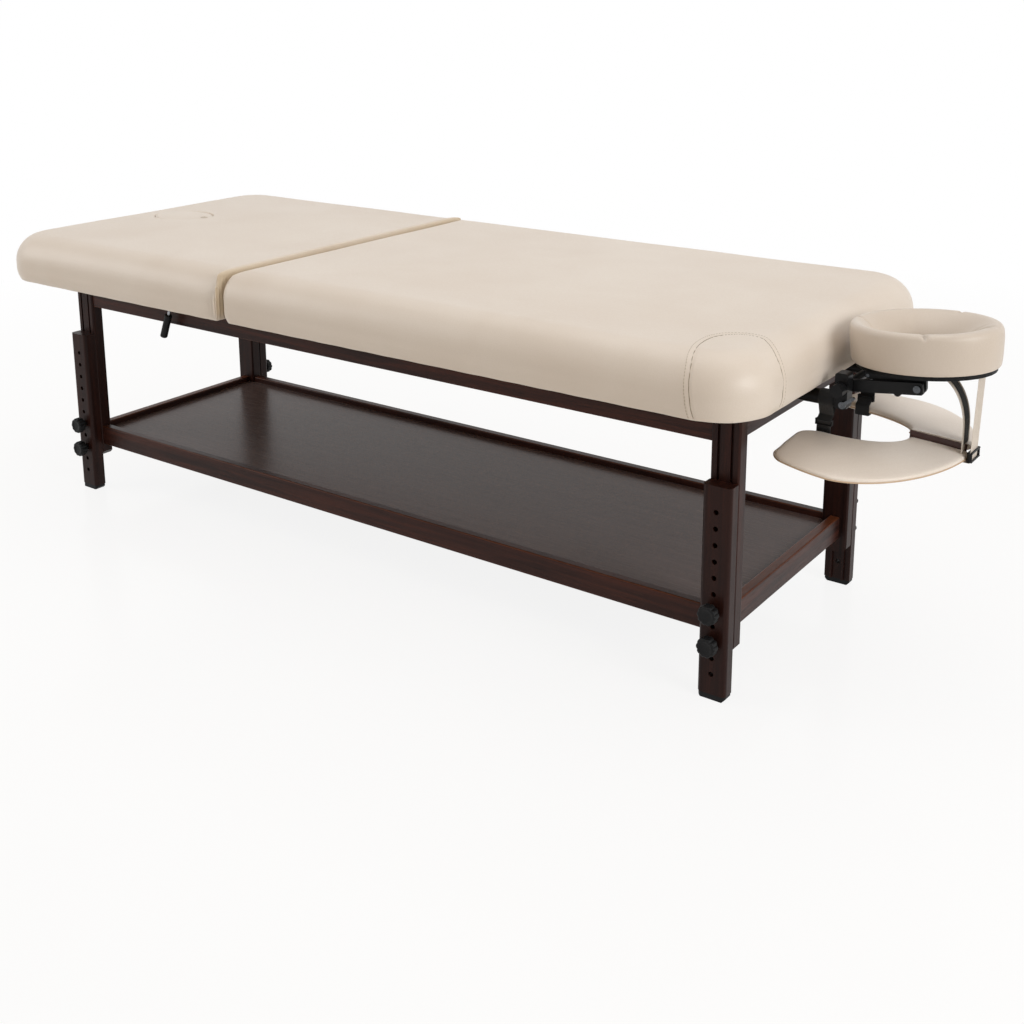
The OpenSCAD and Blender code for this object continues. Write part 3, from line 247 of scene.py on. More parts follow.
def setting(group):
    """The scene's values of a group, with lengths in millimetres and angles in radians."""
    values = getattr(bpy.context.scene, "massage_" + group)
    read = {name: getattr(values, name) for name in values.__annotations__}
    for name, value in read.items():
        if values.bl_rna.properties[name].unit == "LENGTH":
            read[name] = round(value / MM, 4)
    return SimpleNamespace(**read)


# Nodes and materials. Some sockets go by number: 0 to 4 of a Map Range are the value, its range and
# the range that it is carried to; 0, 6 and 7 of a Mix are the factor and the two colours, and 2 is
# its colour output; 0 and 1 of a Math node are its values; 0 and 3 of a Vector Math are its vector
# and its scale; 0 to 2 of a Mix Shader are the factor and the two shaders.


def tint(name):
    """Linear RGBA of one of the table's colours."""
    return list(getattr(setting("colours"), name))


def node(tree, kind, sockets=None, out=0, stops=(), **settings):
    """Adds a shader node: its settings, its colour ramp's stops, and its sockets' values or links.
    Gives the output with that number or name, or all of them when out is None."""
    made = tree.nodes.new("ShaderNode" + kind)
    for key, value in settings.items():
        setattr(made, key, value)
    for i, (place, value) in enumerate(stops):
        element = made.color_ramp.elements[i] if i < 2 else made.color_ramp.elements.new(place)
        element.position, element.color = place, value
    for key, value in (sockets or {}).items():
        if isinstance(value, bpy.types.NodeSocket):
            tree.links.new(value, made.inputs[key])
        else:
            made.inputs[key].default_value = value
    return made.outputs[out] if made.outputs and out is not None else made.outputs


def open_material(name):
    """New material, its emptied tree and its object coordinates in millimetres."""
    material = bpy.data.materials.new(name)
    material.use_nodes = True
    tree = material.node_tree
    tree.nodes.clear()
    place = node(tree, "TexCoord", out="Object")
    return material, tree, node(tree, "VectorMath", {0: place, 3: 1 / MM}, operation="SCALE")


def close_material(tree, base, roughness, height, depth, **uniform):
    """Principled surface with a bump whose height is in millimetres times the depth."""
    bump = node(tree, "Bump", {"Strength": 1.0, "Distance": depth * MM, "Height": height})
    sockets = {key.replace("_", " "): value for key, value in uniform.items()}
    shader = node(tree, "BsdfPrincipled",
                  {"Base Color": base, "Roughness": roughness, "Normal": bump, **sockets})
    node(tree, "OutputMaterial", {"Surface": shader})


def edges(tree, value, ends, near, far):
    """1 at two places and 0 away from them, fading between the near and far distance inside."""
    low = node(tree, "MapRange", {0: value, 1: ends[0] + near, 2: ends[0] + far, 3: 1.0, 4: 0.0})
    high = node(tree, "MapRange", {0: value, 1: ends[1] - far, 2: ends[1] - near})
    return node(tree, "Math", {0: low, 1: high}, operation="MAXIMUM")


def espresso_wood(name, along, rims=None, sides=None, depth=1.0, gloss=0.14):
    """Beech stained espresso under satin lacquer. The stain sinks into the long pores, which show
    as dark hairlines, drawn 0.8 mm wide so that they show in the render. The rounded edges get an
    orange-brown painted highlight. along is the grain's axis; rims are two heights in millimetres
    of edges with the painted highlight, sides two places across the rail that narrow it to its
    edges; depth under 1 darkens the piece towards the dark stain as painted shade."""
    material, tree, place = open_material(name)
    stretch = [1.0, 1.0, 1.0]
    stretch[along] = 0.045
    grain = node(tree, "Mapping", {"Vector": place, "Scale": stretch})
    streaks = node(tree, "TexNoise", {"Vector": grain, "Scale": 1 / 15, "Detail": 4.0,
                                      "Roughness": 0.6, "Distortion": 0.6})
    hairs = node(tree, "TexNoise", {"Vector": grain, "Scale": 1 / 1.6, "Detail": 2.0,
                                    "Roughness": 0.6})
    cloud = node(tree, "TexNoise", {"Vector": place, "Scale": 1 / 160, "Detail": 2.0})
    stain = [(0.3, tint("wood_dark")), (0.72, tint("wood_warm")), (0.5, tint("wood"))]
    base = node(tree, "ValToRGB", {"Fac": streaks}, stops=stain)
    pores = node(tree, "MapRange", {0: hairs, 1: 0.56, 2: 0.7})
    filled = node(tree, "Math", {0: pores, 1: 0.7}, operation="MULTIPLY")
    base = node(tree, "Mix", {0: filled, 6: base, 7: tint("wood_dark")}, 2, data_type="RGBA")
    warm = node(tree, "MapRange", {0: cloud, 1: 0.35, 2: 0.7, 4: 0.35})
    base = node(tree, "Mix", {0: warm, 6: base, 7: tint("wood_warm")}, 2, data_type="RGBA")
    # Painted highlight: orange-brown on the rounded edges near the rims, patchy along the streaks.
    if rims is not None:
        axes = node(tree, "SeparateXYZ", {"Vector": place}, None)
        painted_edge_highlight = edges(tree, axes[2], rims, 0.6, 2.6)
        if sides is not None:
            narrow = edges(tree, axes[1 - along], sides, 0.8, 2.8)
            painted_edge_highlight = node(tree, "Math", {0: painted_edge_highlight, 1: narrow}, operation="MULTIPLY")
        patchy = node(tree, "MapRange", {0: streaks, 1: 0.3, 2: 0.6, 3: 0.35, 4: 0.75})
        painted_edge_highlight = node(tree, "Math", {0: painted_edge_highlight, 1: patchy}, operation="MULTIPLY")
        base = node(tree, "Mix", {0: painted_edge_highlight, 6: base, 7: tint("wood_edge_highlight")}, 2, data_type="RGBA")
    # Painted shade: under a depth of 1 the whole piece is darkened towards the dark stain.
    base = node(tree, "Mix", {0: 1 - depth, 6: base, 7: tint("wood_dark")}, 2, data_type="RGBA")
    rough = node(tree, "MapRange", {0: hairs, 1: 0.3, 2: 0.7, 3: 0.3, 4: 0.42})
    height = node(tree, "Math", {0: 1.0, 1: pores}, operation="SUBTRACT")
    close_material(tree, base, rough, height, 0.06, Specular_IOR_Level=gloss)
    return material


def satin_veneer():
    """Espresso veneer on the shelf panel under matt lacquer: a grey-brown sheet with fine grain."""
    material, tree, place = open_material("satin_espresso_veneer")
    grain = node(tree, "Mapping", {"Vector": place, "Scale": (0.03, 1.0, 1.0)})
    streaks = node(tree, "TexNoise", {"Vector": grain, "Scale": 1 / 12, "Detail": 5.0,
                                      "Roughness": 0.6, "Distortion": 0.8})
    hairs = node(tree, "TexNoise", {"Vector": grain, "Scale": 1 / 1.5, "Detail": 2.0,
                                    "Roughness": 0.6})
    stain = [(0.3, srgb("#554744")), (0.75, srgb("#615350")), (0.52, tint("veneer"))]
    base = node(tree, "ValToRGB", {"Fac": streaks}, stops=stain)
    dark = node(tree, "MapRange", {0: hairs, 1: 0.55, 2: 0.72, 4: 0.25})
    base = node(tree, "Mix", {0: dark, 6: base, 7: srgb("#463A37")}, 2, data_type="RGBA")
    rough = node(tree, "MapRange", {0: hairs, 1: 0.3, 2: 0.7, 3: 0.2, 4: 0.3})
    close_material(tree, base, rough, hairs, 0.02, Specular_IOR_Level=0.1)
    return material


def birch_plywood(name, low):
    """Birch plywood: pale rotary-cut faces and, on the edges, plies 1.5 mm thick in turn dark and
    light, counted from the sheet's low side."""
    material, tree, place = open_material(name)
    face = node(tree, "Mapping", {"Vector": place, "Scale": (0.12, 1.0, 1.0)})
    streaks = node(tree, "TexNoise", {"Vector": face, "Scale": 1 / 26, "Detail": 4.0,
                                      "Roughness": 0.55, "Distortion": 1.2})
    stops = [(0.3, srgb("#B8925F")), (0.7, srgb("#DCC097"))]
    base = node(tree, "ValToRGB", {"Fac": streaks}, stops=stops)
    height = node(tree, "SeparateXYZ", {"Vector": place}, "Z")
    rise = node(tree, "Math", {0: height, 1: low}, operation="SUBTRACT")
    plies = node(tree, "Math", {0: rise, 1: 1.5}, operation="PINGPONG")
    normal = node(tree, "NewGeometry", out="Normal")
    facing = node(tree, "SeparateXYZ", {"Vector": normal}, "Z")
    up = node(tree, "Math", {0: facing}, operation="ABSOLUTE")
    side = node(tree, "MapRange", {0: up, 1: 0.4, 2: 0.6, 3: 1.0, 4: 0.0})
    glue = node(tree, "MapRange", {0: plies, 1: 0.6, 2: 0.9})
    edge = node(tree, "Math", {0: side, 1: glue}, operation="MULTIPLY")
    base = node(tree, "Mix", {0: edge, 6: base, 7: srgb("#8A6238")}, 2, data_type="RGBA")
    close_material(tree, base, 0.6, streaks, 0.05)
    return material


def leatherette(name, tone="cover", shade="cover_shade", gathered=False):
    """Polyurethane leatherette, knife coated and embossed: a fine pebble grain, drawn 1.7 mm wide
    so that it shows, whose pores are tinted towards the shade colour as painted shade, with hair
    creases, a low wide sheen, and a tone that drifts a little over the hand's breadth. Where the
    mesh's own attribute says so, the backrest's split end turns tan as painted shade of the gap."""
    material, tree, place = open_material(name)
    drift = node(tree, "TexNoise", {"Vector": place, "Scale": 1 / 190, "Detail": 2.0,
                                    "Distortion": 0.4})
    pebble = node(tree, "TexVoronoi", {"Vector": place, "Scale": 1 / 1.7, "Randomness": 0.9},
                  "Distance", feature="DISTANCE_TO_EDGE")
    dimple = node(tree, "MapRange", {0: pebble, 1: 0.02, 2: 0.3})
    crease = node(tree, "TexNoise", {"Vector": place, "Scale": 1 / 5.5, "Detail": 4.0,
                                     "Roughness": 0.62, "Distortion": 0.3})
    cloudy = node(tree, "MapRange", {0: drift, 1: 0.3, 2: 0.72, 4: 0.45})
    base = node(tree, "Mix", {0: cloudy, 6: tint(tone), 7: tint(shade)}, 2, data_type="RGBA")
    # Painted shade: the grain's pores are tinted towards the shade colour.
    painted_pore_shade = node(tree, "MapRange", {0: dimple, 3: 0.3, 4: 0.0})
    base = node(tree, "Mix", {0: painted_pore_shade, 6: base, 7: tint(shade)}, 2, data_type="RGBA")
    # Painted shade: tan on the backrest's split end, which lies in the gap's shade.
    if gathered:
        share = node(tree, "Attribute", out="Fac", attribute_name="gather")
        base = node(tree, "Mix", {0: share, 6: base, 7: tint("pleat")}, 2, data_type="RGBA")
    rough = node(tree, "MapRange", {0: crease, 1: 0.3, 2: 0.7, 3: 0.33, 4: 0.45})
    deep = node(tree, "Math", {0: crease, 1: 1.6}, operation="MULTIPLY")
    height = node(tree, "Math", {0: dimple, 1: deep}, operation="ADD")
    close_material(tree, base, rough, height, 0.07, Specular_IOR_Level=0.5,
                   Sheen_Weight=0.08, Sheen_Roughness=0.5)
    return material


def black_skin(name, relief, mottle, lighter, rough):
    """Near-black surface whose fine relief also varies its roughness. relief is the size in
    millimetres, the detail and the roughness of its noise, mottle the size over which it changes
    to the lighter black, rough the least and most roughness."""
    material, tree, place = open_material(name)
    grain = node(tree, "TexNoise", {"Vector": place, "Scale": 1 / relief[0], "Detail": relief[1],
                                    "Roughness": relief[2]})
    broad = node(tree, "TexNoise", {"Vector": place, "Scale": 1 / mottle, "Detail": 2.0})
    share = node(tree, "MapRange", {0: broad, 1: 0.35, 2: 0.7})
    base = node(tree, "Mix", {0: share, 6: tint("black"), 7: srgb(lighter)}, 2, data_type="RGBA")
    skin = node(tree, "MapRange", {0: grain, 1: 0.3, 2: 0.7, 3: rough[0], 4: rough[1]})
    close_material(tree, base, skin, grain, 0.05, Specular_IOR_Level=0.16)
    return material


def moulded_nylon(name, glossy=0.0):
    """Glass-filled nylon, injection moulded in an eroded cavity: deep black with a spark grain,
    drawn 0.7 mm coarse so that it shows."""
    return black_skin(name, (0.7, 3.0, 0.6), 14.0, "#171718", (0.42 - glossy, 0.56 - glossy))


def powder_coat():
    """Black polyester powder coat on steel: fine orange peel of about 2 mm and a half gloss."""
    return black_skin("black_powder_coat", (2.2, 2.0, 0.4), 30.0, "#161617", (0.3, 0.4))


def plated_steel(name, tone):
    """Zinc plated or blackened steel: a metal with faint clouding and short rolling scratches."""
    material, tree, place = open_material(name)
    cloud = node(tree, "TexNoise", {"Vector": place, "Scale": 1 / 9, "Detail": 3.0})
    stretched = node(tree, "Mapping", {"Vector": place, "Scale": (1.0, 0.08, 1.0)})
    scratch = node(tree, "TexNoise", {"Vector": stretched, "Scale": 1 / 0.8, "Detail": 2.0})
    darker = [c * 0.65 for c in tint(tone)[:3]] + [1.0]
    share = node(tree, "MapRange", {0: cloud, 1: 0.3, 2: 0.7})
    base = node(tree, "Mix", {0: share, 6: tint(tone), 7: darker}, 2, data_type="RGBA")
    rough = node(tree, "MapRange", {0: scratch, 1: 0.3, 2: 0.7, 3: 0.2, 4: 0.36})
    close_material(tree, base, rough, scratch, 0.03, Metallic=1.0)
    return material


def woven_webbing(name, tone, pale=0.0):
    """Polyester webbing, plain woven, with picks 1.3 mm and ribs 1.1 mm apart: the height is sin of
    the way along times sin of the way across, half a wave for each, on the strap's own map. The
    colour darkens in the weave's valleys as painted shade, and at random with the fuzz."""
    material, tree, _ = open_material(name)
    uv = node(tree, "UVMap", uv_map="strap")
    parts = node(tree, "SeparateXYZ", {"Vector": uv}, None)
    waves = []
    for part, wave in ((parts[0], 2.6), (parts[1], 2.2)):
        phase = node(tree, "Math", {0: part, 1: 2 * math.pi / wave}, operation="MULTIPLY")
        waves.append(node(tree, "Math", {0: phase}, operation="SINE"))
    weave = node(tree, "Math", {0: waves[0], 1: waves[1]}, operation="MULTIPLY")
    fuzz = node(tree, "TexNoise", {"Vector": uv, "Scale": 1 / 0.8, "Detail": 2.0})
    # Painted shade: the weave's valleys are tinted darker, and the fuzz varies it at random.
    dark = [c * (0.55 + 0.2 * pale) for c in tone[:3]] + [1.0]
    rise = node(tree, "Math", {0: weave, 1: fuzz}, operation="ADD")
    share = node(tree, "MapRange", {0: rise, 1: -0.4, 2: 1.2})
    base = node(tree, "Mix", {0: share, 6: dark, 7: tone}, 2, data_type="RGBA")
    close_material(tree, base, 0.78, weave, 0.22, Specular_IOR_Level=0.3, Sheen_Weight=0.15)
    return material


def sewing_thread(name, tone):
    """Bonded nylon thread, 1 mm thick and twisted: brown with a slight sheen."""
    material, tree, place = open_material(name)
    twist = node(tree, "TexNoise", {"Vector": place, "Scale": 1 / 0.6, "Detail": 2.0})
    base = node(tree, "Mix", {0: twist, 6: tint(tone), 7: srgb("#5E4E39")}, 2, data_type="RGBA")
    close_material(tree, base, 0.5, twist, 0.05)
    return material


# Meshes


def piece(name, points, faces, material, uv=None, smooth=True, weld=True, sharp=None):
    """Mesh object from points in millimetres. It is welded where its rows meet, and turned
    outwards if its signed volume, the sum of a . (b x c) / 6 over its triangles, is negative."""
    mesh = bpy.data.meshes.new(name)
    mesh.from_pydata((np.asarray(points, float).reshape(-1, 3) * MM).tolist(), [], faces)
    if uv is not None:
        layer = mesh.uv_layers.new(name="strap")
        corners = np.zeros(len(mesh.loops), np.int64)
        mesh.loops.foreach_get("vertex_index", corners)
        layer.data.foreach_set("uv", np.asarray(uv, float).reshape(-1, 2)[corners].ravel())
    if weld:
        work = bmesh.new()
        work.from_mesh(mesh)
        bmesh.ops.remove_doubles(work, verts=work.verts, dist=1e-6)
        work.to_mesh(mesh)
        work.free()
    mesh.calc_loop_triangles()
    if signed_volume(mesh) < 0:
        mesh.flip_normals()
    if smooth:
        mesh.shade_smooth()
    if sharp is not None:
        mesh.set_sharp_from_angle(angle=math.radians(sharp))
    mesh.materials.append(material)
    made = bpy.data.objects.new(name, mesh)
    bpy.context.scene.collection.objects.link(made)
    return made


def vertices(mesh):
    """Vertex places as an array, in millimetres."""
    flat = np.zeros(len(mesh.vertices) * 3, np.float32)
    mesh.vertices.foreach_get("co", flat)
    return flat.reshape(-1, 3).astype(float) / MM


def normals(mesh):
    """Vertex normals as an array."""
    flat = np.zeros(len(mesh.vertices) * 3, np.float32)
    mesh.vertex_normals.foreach_get("vector", flat)
    return flat.reshape(-1, 3).astype(float)


def signed_volume(mesh):
    """Volume inside the mesh, positive where its faces point outwards."""
    corners = np.zeros(len(mesh.loop_triangles) * 3, np.int32)
    mesh.loop_triangles.foreach_get("vertices", corners)
    a, b, c = np.moveaxis(vertices(mesh)[corners].reshape(-1, 3, 3), 1, 0)
    return float(np.einsum("ij,ij->", a, np.cross(b, c))) / 6


def push(thing, offset):
    """Moves each vertex along its normal by its offset in millimetres."""
    mesh = thing.data
    moved = vertices(mesh) + normals(mesh) * offset[:, None]
    mesh.vertices.foreach_set("co", (moved * MM).astype(np.float32).ravel())
    mesh.update()


def quads(rows, columns, loop=False):
    """Faces of a grid with closed rows; loop also joins the last row to the first."""
    r = np.arange(rows if loop else rows - 1)[:, None]
    c = np.arange(columns)[None, :]
    r1, c1 = (r + 1) % rows, (c + 1) % columns
    faces = [r * columns + c, r * columns + c1, r1 * columns + c1, r1 * columns + c]
    return np.stack(faces, -1).reshape(-1, 4).tolist()


def end_faces(rows, columns):
    """The two faces that close the ends of a grid with closed rows."""
    last = (rows - 1) * columns
    return [list(range(columns)), list(range(last, last + columns))[::-1]]


def grid(name, points, material, loop=False, caps=False, **options):
    """Surface from an array of rows by columns by 3, closed round each row. caps closes the two
    ends, each with one face."""
    rows, columns = points.shape[:2]
    faces = quads(rows, columns, loop) + (end_faces(rows, columns) if caps else [])
    return piece(name, points, faces, material, **options)


def joined(name, parts, material, **options):
    """One mesh from several closed grids of rows by columns by 3, each with both ends closed."""
    faces, start = [], 0
    for part in parts:
        rows, columns = part.shape[:2]
        own = quads(rows, columns) + end_faces(rows, columns)
        faces += [[start + corner for corner in face] for face in own]
        start += rows * columns
    points = np.concatenate([part.reshape(-1, 3) for part in parts])
    return piece(name, points, faces, material, **options)


def full_turn(count):
    """Angles of so many equal steps round a circle."""
    return np.linspace(0, 2 * np.pi, count, endpoint=False)


def raised(plan, height):
    """Points of a plan with their heights, which are one number or one for each point."""
    return np.concatenate([plan, np.broadcast_to(height, plan.shape[:-1])[..., None]], -1)


def turned(first, second, angle):
    """Two coordinates turned by an angle t: a cos t + b sin t and b cos t - a sin t."""
    return (first * math.cos(angle) + second * math.sin(angle),
            second * math.cos(angle) - first * math.sin(angle))


def smooth_step(value):
    """3 t^2 - 2 t^3 of a value held between 0 and 1."""
    t = np.clip(value, 0, 1)
    return t * t * (3 - 2 * t)


def spline(points, count):
    """Catmull-Rom curve through points, as count points evenly spaced in its parameter."""
    p = np.asarray(points, float)
    p = np.concatenate([2 * p[:1] - p[1:2], p, 2 * p[-1:] - p[-2:-1]])
    t = np.linspace(0, len(points) - 1 - 1e-9, count)
    i = t.astype(int)
    u = (t - i)[:, None]
    a, b, c, d = p[i], p[i + 1], p[i + 2], p[i + 3]
    return 0.5 * (2 * b + (c - a) * u + (2 * a - 5 * b + 4 * c - d) * u ** 2
                  + (3 * b - a - 3 * c + d) * u ** 3)


def running_length(path):
    """Length of a polyline up to each of its points."""
    return np.concatenate([[0], np.cumsum(np.linalg.norm(np.diff(path, axis=0), axis=1))])


def tangents(path):
    """Unit vectors along a polyline."""
    step = np.gradient(path, axis=0)
    return step / np.linalg.norm(step, axis=1)[:, None]


def even(path, step):
    """The same polyline with points a step apart, by its running length."""
    length = running_length(path)
    places = np.linspace(0, length[-1], max(2, int(round(length[-1] / step)) + 1))
    return np.stack([np.interp(places, length, path[:, k]) for k in range(3)], -1)


def path_distance(points, path):
    """Least distance from each point p to a polyline: |p - a - t (b - a)| with t the share
    (p - a).(b - a) / |b - a|^2 held between 0 and 1."""
    a, d = path[:-1], np.diff(path, axis=0)
    square = np.maximum(np.einsum("mk,mk->m", d, d), 1e-9)
    t = np.einsum("nmk,mk->nm", points[:, None] - a, d) / square
    near = a + np.clip(t, 0, 1)[..., None] * d
    return np.linalg.norm(points[:, None] - near, axis=2).min(1)


# A direction that no path in this file runs along, so that a tube's rings can start from it.
OFF_PATH = (0.31, 0.21, 0.93)


def tube(path, radius, sides=8):
    """Rows of a round tube along a path: each ring lies in the plane across the path's tangent."""
    tangent = tangents(path)
    aside = np.cross(tangent, OFF_PATH)
    aside /= np.linalg.norm(aside, axis=1)[:, None]
    lift = np.cross(aside, tangent)
    turn = full_turn(sides)[:, None]
    size = np.broadcast_to(np.asarray(radius, float), (len(path),))[:, None, None]
    return path[:, None] + size * (np.cos(turn) * aside[:, None] + np.sin(turn) * lift[:, None])


def ribbon(path, width_axis, width, thickness):
    """Rows of a flat strap along a path, and the strap's map in millimetres: a rectangle of the
    given width along width_axis and the given thickness across the path. Within half a thickness
    of an edge it thins by sqrt(1 - q^2), q growing from 0 to 1 at the edge."""
    wide = np.asarray(width_axis, float)
    thick = np.cross(tangents(path), wide)
    thick /= np.linalg.norm(thick, axis=1)[:, None]
    across = np.linspace(-1, 1, 13)
    flat = np.concatenate([across, across[::-1]])
    side = np.repeat([1.0, -1.0], len(across))
    h = thickness / 2
    rim = ((np.abs(flat) - 1) * width / 2 / h + 1).clip(0)
    swell = h * np.sqrt(np.clip(1 - rim ** 2, 0.05, 1))
    rows = (path[:, None] + flat[None, :, None] * width / 2 * wide
            + (side * swell)[None, :, None] * thick[:, None])
    uv = np.stack(np.broadcast_arrays(running_length(path)[:, None], flat[None] * width / 2), -1)
    return rows, uv


# Cushions


DECK_PLAY = 0.4         # between a deck and the cover round it
LEAST_CORNER = 5.0      # of a cushion's corner where it is drawn in most
CEILING_REACH = 60.0    # from a deck's pocket in to the middle line of its ceiling
CORNERS = ((1, 1), (-1, 1), (-1, -1), (1, -1))    # head +Y, foot +Y, foot -Y, head -Y
PANEL_REACH = 150.0     # the corner panel's seam lies within it of the end and outside it sideways
PULL_PLACE = 4.0        # from a seam to the crest of the cover's pull beside it
PLEAT_DEPTH, PLEAT_PITCH = 1.7, 9.0     # of the gathers at the split
SPLIT_SHADE_SHARE, SPLIT_SHADE_WIDTH = 0.7, 7.0   # how far the split end is tinted tan as painted shade, and over which width


def cushion_columns(corner_steps, side_steps, end_steps):
    """Columns round a cushion: the corner before and the one after, the share of the way between
    them, and the outward angle. corner_steps are counts for a head and a foot corner, end_steps
    for the foot and the head end. Sides and the head end are finer near their corners."""
    before, after, share, angle = [], [], [], []
    for k in range(4):
        n = corner_steps[0] if k in (0, 3) else corner_steps[1]
        m = [side_steps, end_steps[0], side_steps, end_steps[1]][k]
        run = np.arange(m) / m
        spread = run if k == 1 else 0.5 - 0.5 * np.cos(np.pi * run)
        before += [k] * (n + m)
        after += [k] * n + [(k + 1) % 4] * m
        share += [0.0] * n + list(0.55 * spread + 0.45 * run)
        angle += [90 * k + 90 * i / n for i in range(n)] + [90 * (k + 1)] * m
    return np.array(before), np.array(after), np.array(share), np.radians(angle)


def cushion_rings(x0, x1, half, radii, bow, columns):
    """Rounded rectangles, one for each row's extents and its foot and head radii: each point is
    the corner's centre plus r (cos a, sin a), or a share t of the way between two corners'
    points, bowed in by bow * 4 t (1 - t)."""
    before, after, share, angle = columns
    out = np.stack([np.cos(angle), np.sin(angle)], -1)[None]
    spots = []
    for sx, sy in CORNERS:
        x, r = (x1, radii[1]) if sx > 0 else (x0, radii[0])
        centre = np.stack([x - sx * r, sy * (half - r)], -1)[:, None]
        spots.append(centre + r[:, None, None] * out)
    spots, index = np.stack(spots), np.arange(len(angle))
    first = spots[before, :, index].transpose(1, 0, 2)
    second = spots[after, :, index].transpose(1, 0, 2)
    t = share[None, :, None]
    return first + (second - first) * t - out * bow[:, None, None] * 4 * t * (1 - t)


def medial(ring, x0, x1):
    """Point of the middle line that each point of a ring runs to: its X held between x0 and x1."""
    return np.stack([np.clip(ring[..., 0], x0, x1), np.zeros_like(ring[..., 0])], -1)


def foot_inset(height, sizes):
    """How far the cover is drawn in below its tuck: tuck * (1 - z / rise)^2.2."""
    return sizes.tuck * np.clip(1 - height / sizes.tuck_rise, 0, 1) ** 2.2


def cushion_walls(sizes, rolls, low_inset):
    """Row tables of a cushion from its foot to the end of its roll: the heights and insets of the
    foot end, the head end and the sides. A wall is followed by its roll, r (1 - cos a) in and
    r sin a up."""
    wall = np.concatenate([[0.3, 1.2], np.linspace(3.5, sizes.thickness - sizes.roll, 12)])
    turns = np.radians(np.linspace(0, 90, 34)[1:])
    insets, heights = [], []
    for roll in rolls:
        base = sizes.thickness - roll
        lift = wall * base / wall[-1]
        insets.append(np.concatenate([[low_inset, sizes.tuck + 2.2], foot_inset(lift, sizes),
                                      roll * (1 - np.cos(turns))]))
        heights.append(np.concatenate([[0.0, 0.0], lift, base + roll * np.sin(turns)]))
    return insets, heights


def row_heights(heights, columns):
    """Heights of each row and column: the ends' own where a column faces along X, the sides' where
    it faces along Y, mixed by cos^2 of the outward angle in the corners."""
    angle = columns[3]
    facing = np.cos(angle) ** 2
    head = np.cos(angle) > 0
    ends = np.where(head[None], heights[1][:, None], heights[0][:, None])
    return ends * facing[None] + heights[2][:, None] * (1 - facing[None])


def taut_ripple(points, sizes, low):
    """Slight pulls of the stapled cover: sin of the way round every 60 to 100 mm, strongest at the
    foot of the wall and gone at half its height, and a slow swell of the foam under the cover."""
    x, y, z = points.T
    fade = np.clip(1 - (z - low) / (0.55 * sizes.thickness), 0, 1) ** 1.5 * (z > low + 0.2)
    pulls = np.sin(x / 13.1 + 0.7 * np.sin(x / 61)) + np.sin(y / 12.3 + 0.9 * np.sin(y / 47) + 1.1)
    swell = np.sin(x / 71 + 0.4) * np.sin(y / 83 + 1.3) + 0.6 * np.sin((x + y) / 49)
    return 0.22 * fade * pulls + 0.28 * swell * (z > low + 20)


def deck_pocket(box, low, high):
    """Insets and height of the hollow that leaves some play round the deck between two corners."""
    x0, x1, half, base = box
    return {"side": half - high[1] - DECK_PLAY, "foot": low[0] - x0 - DECK_PLAY,
            "head": x1 - high[0] - DECK_PLAY, "height": high[2] - base + DECK_PLAY}


def hole_rows(rim, crest, under, thickness, ceiling, centre, lip):
    """Rows round a hole: those of its rolled lip, l sin a in and l (1 - cos a) down, and of the
    shaft below, and those of the pocket's ceiling, at shares of the way from the shaft out."""
    outward = (rim - centre) / np.linalg.norm(rim - centre, axis=1)[:, None]
    turns = np.radians(np.linspace(0, 90, 7))[1:]
    bend = [raised(rim - outward * lip * np.sin(a), crest - lip * (1 - np.cos(a))) for a in turns]
    foot = rim - outward * lip
    shaft = [raised(foot, z) for z in np.linspace(thickness - lip - 4, ceiling, 8)]
    q = np.array([0.3, 0.55, 0.75, 0.86, 0.92, 0.955, 0.975, 0.99, 1.0])[:, None, None]
    return np.stack(bend + shaft), raised(foot[None] * (1 - q) + under[None] * q, ceiling)


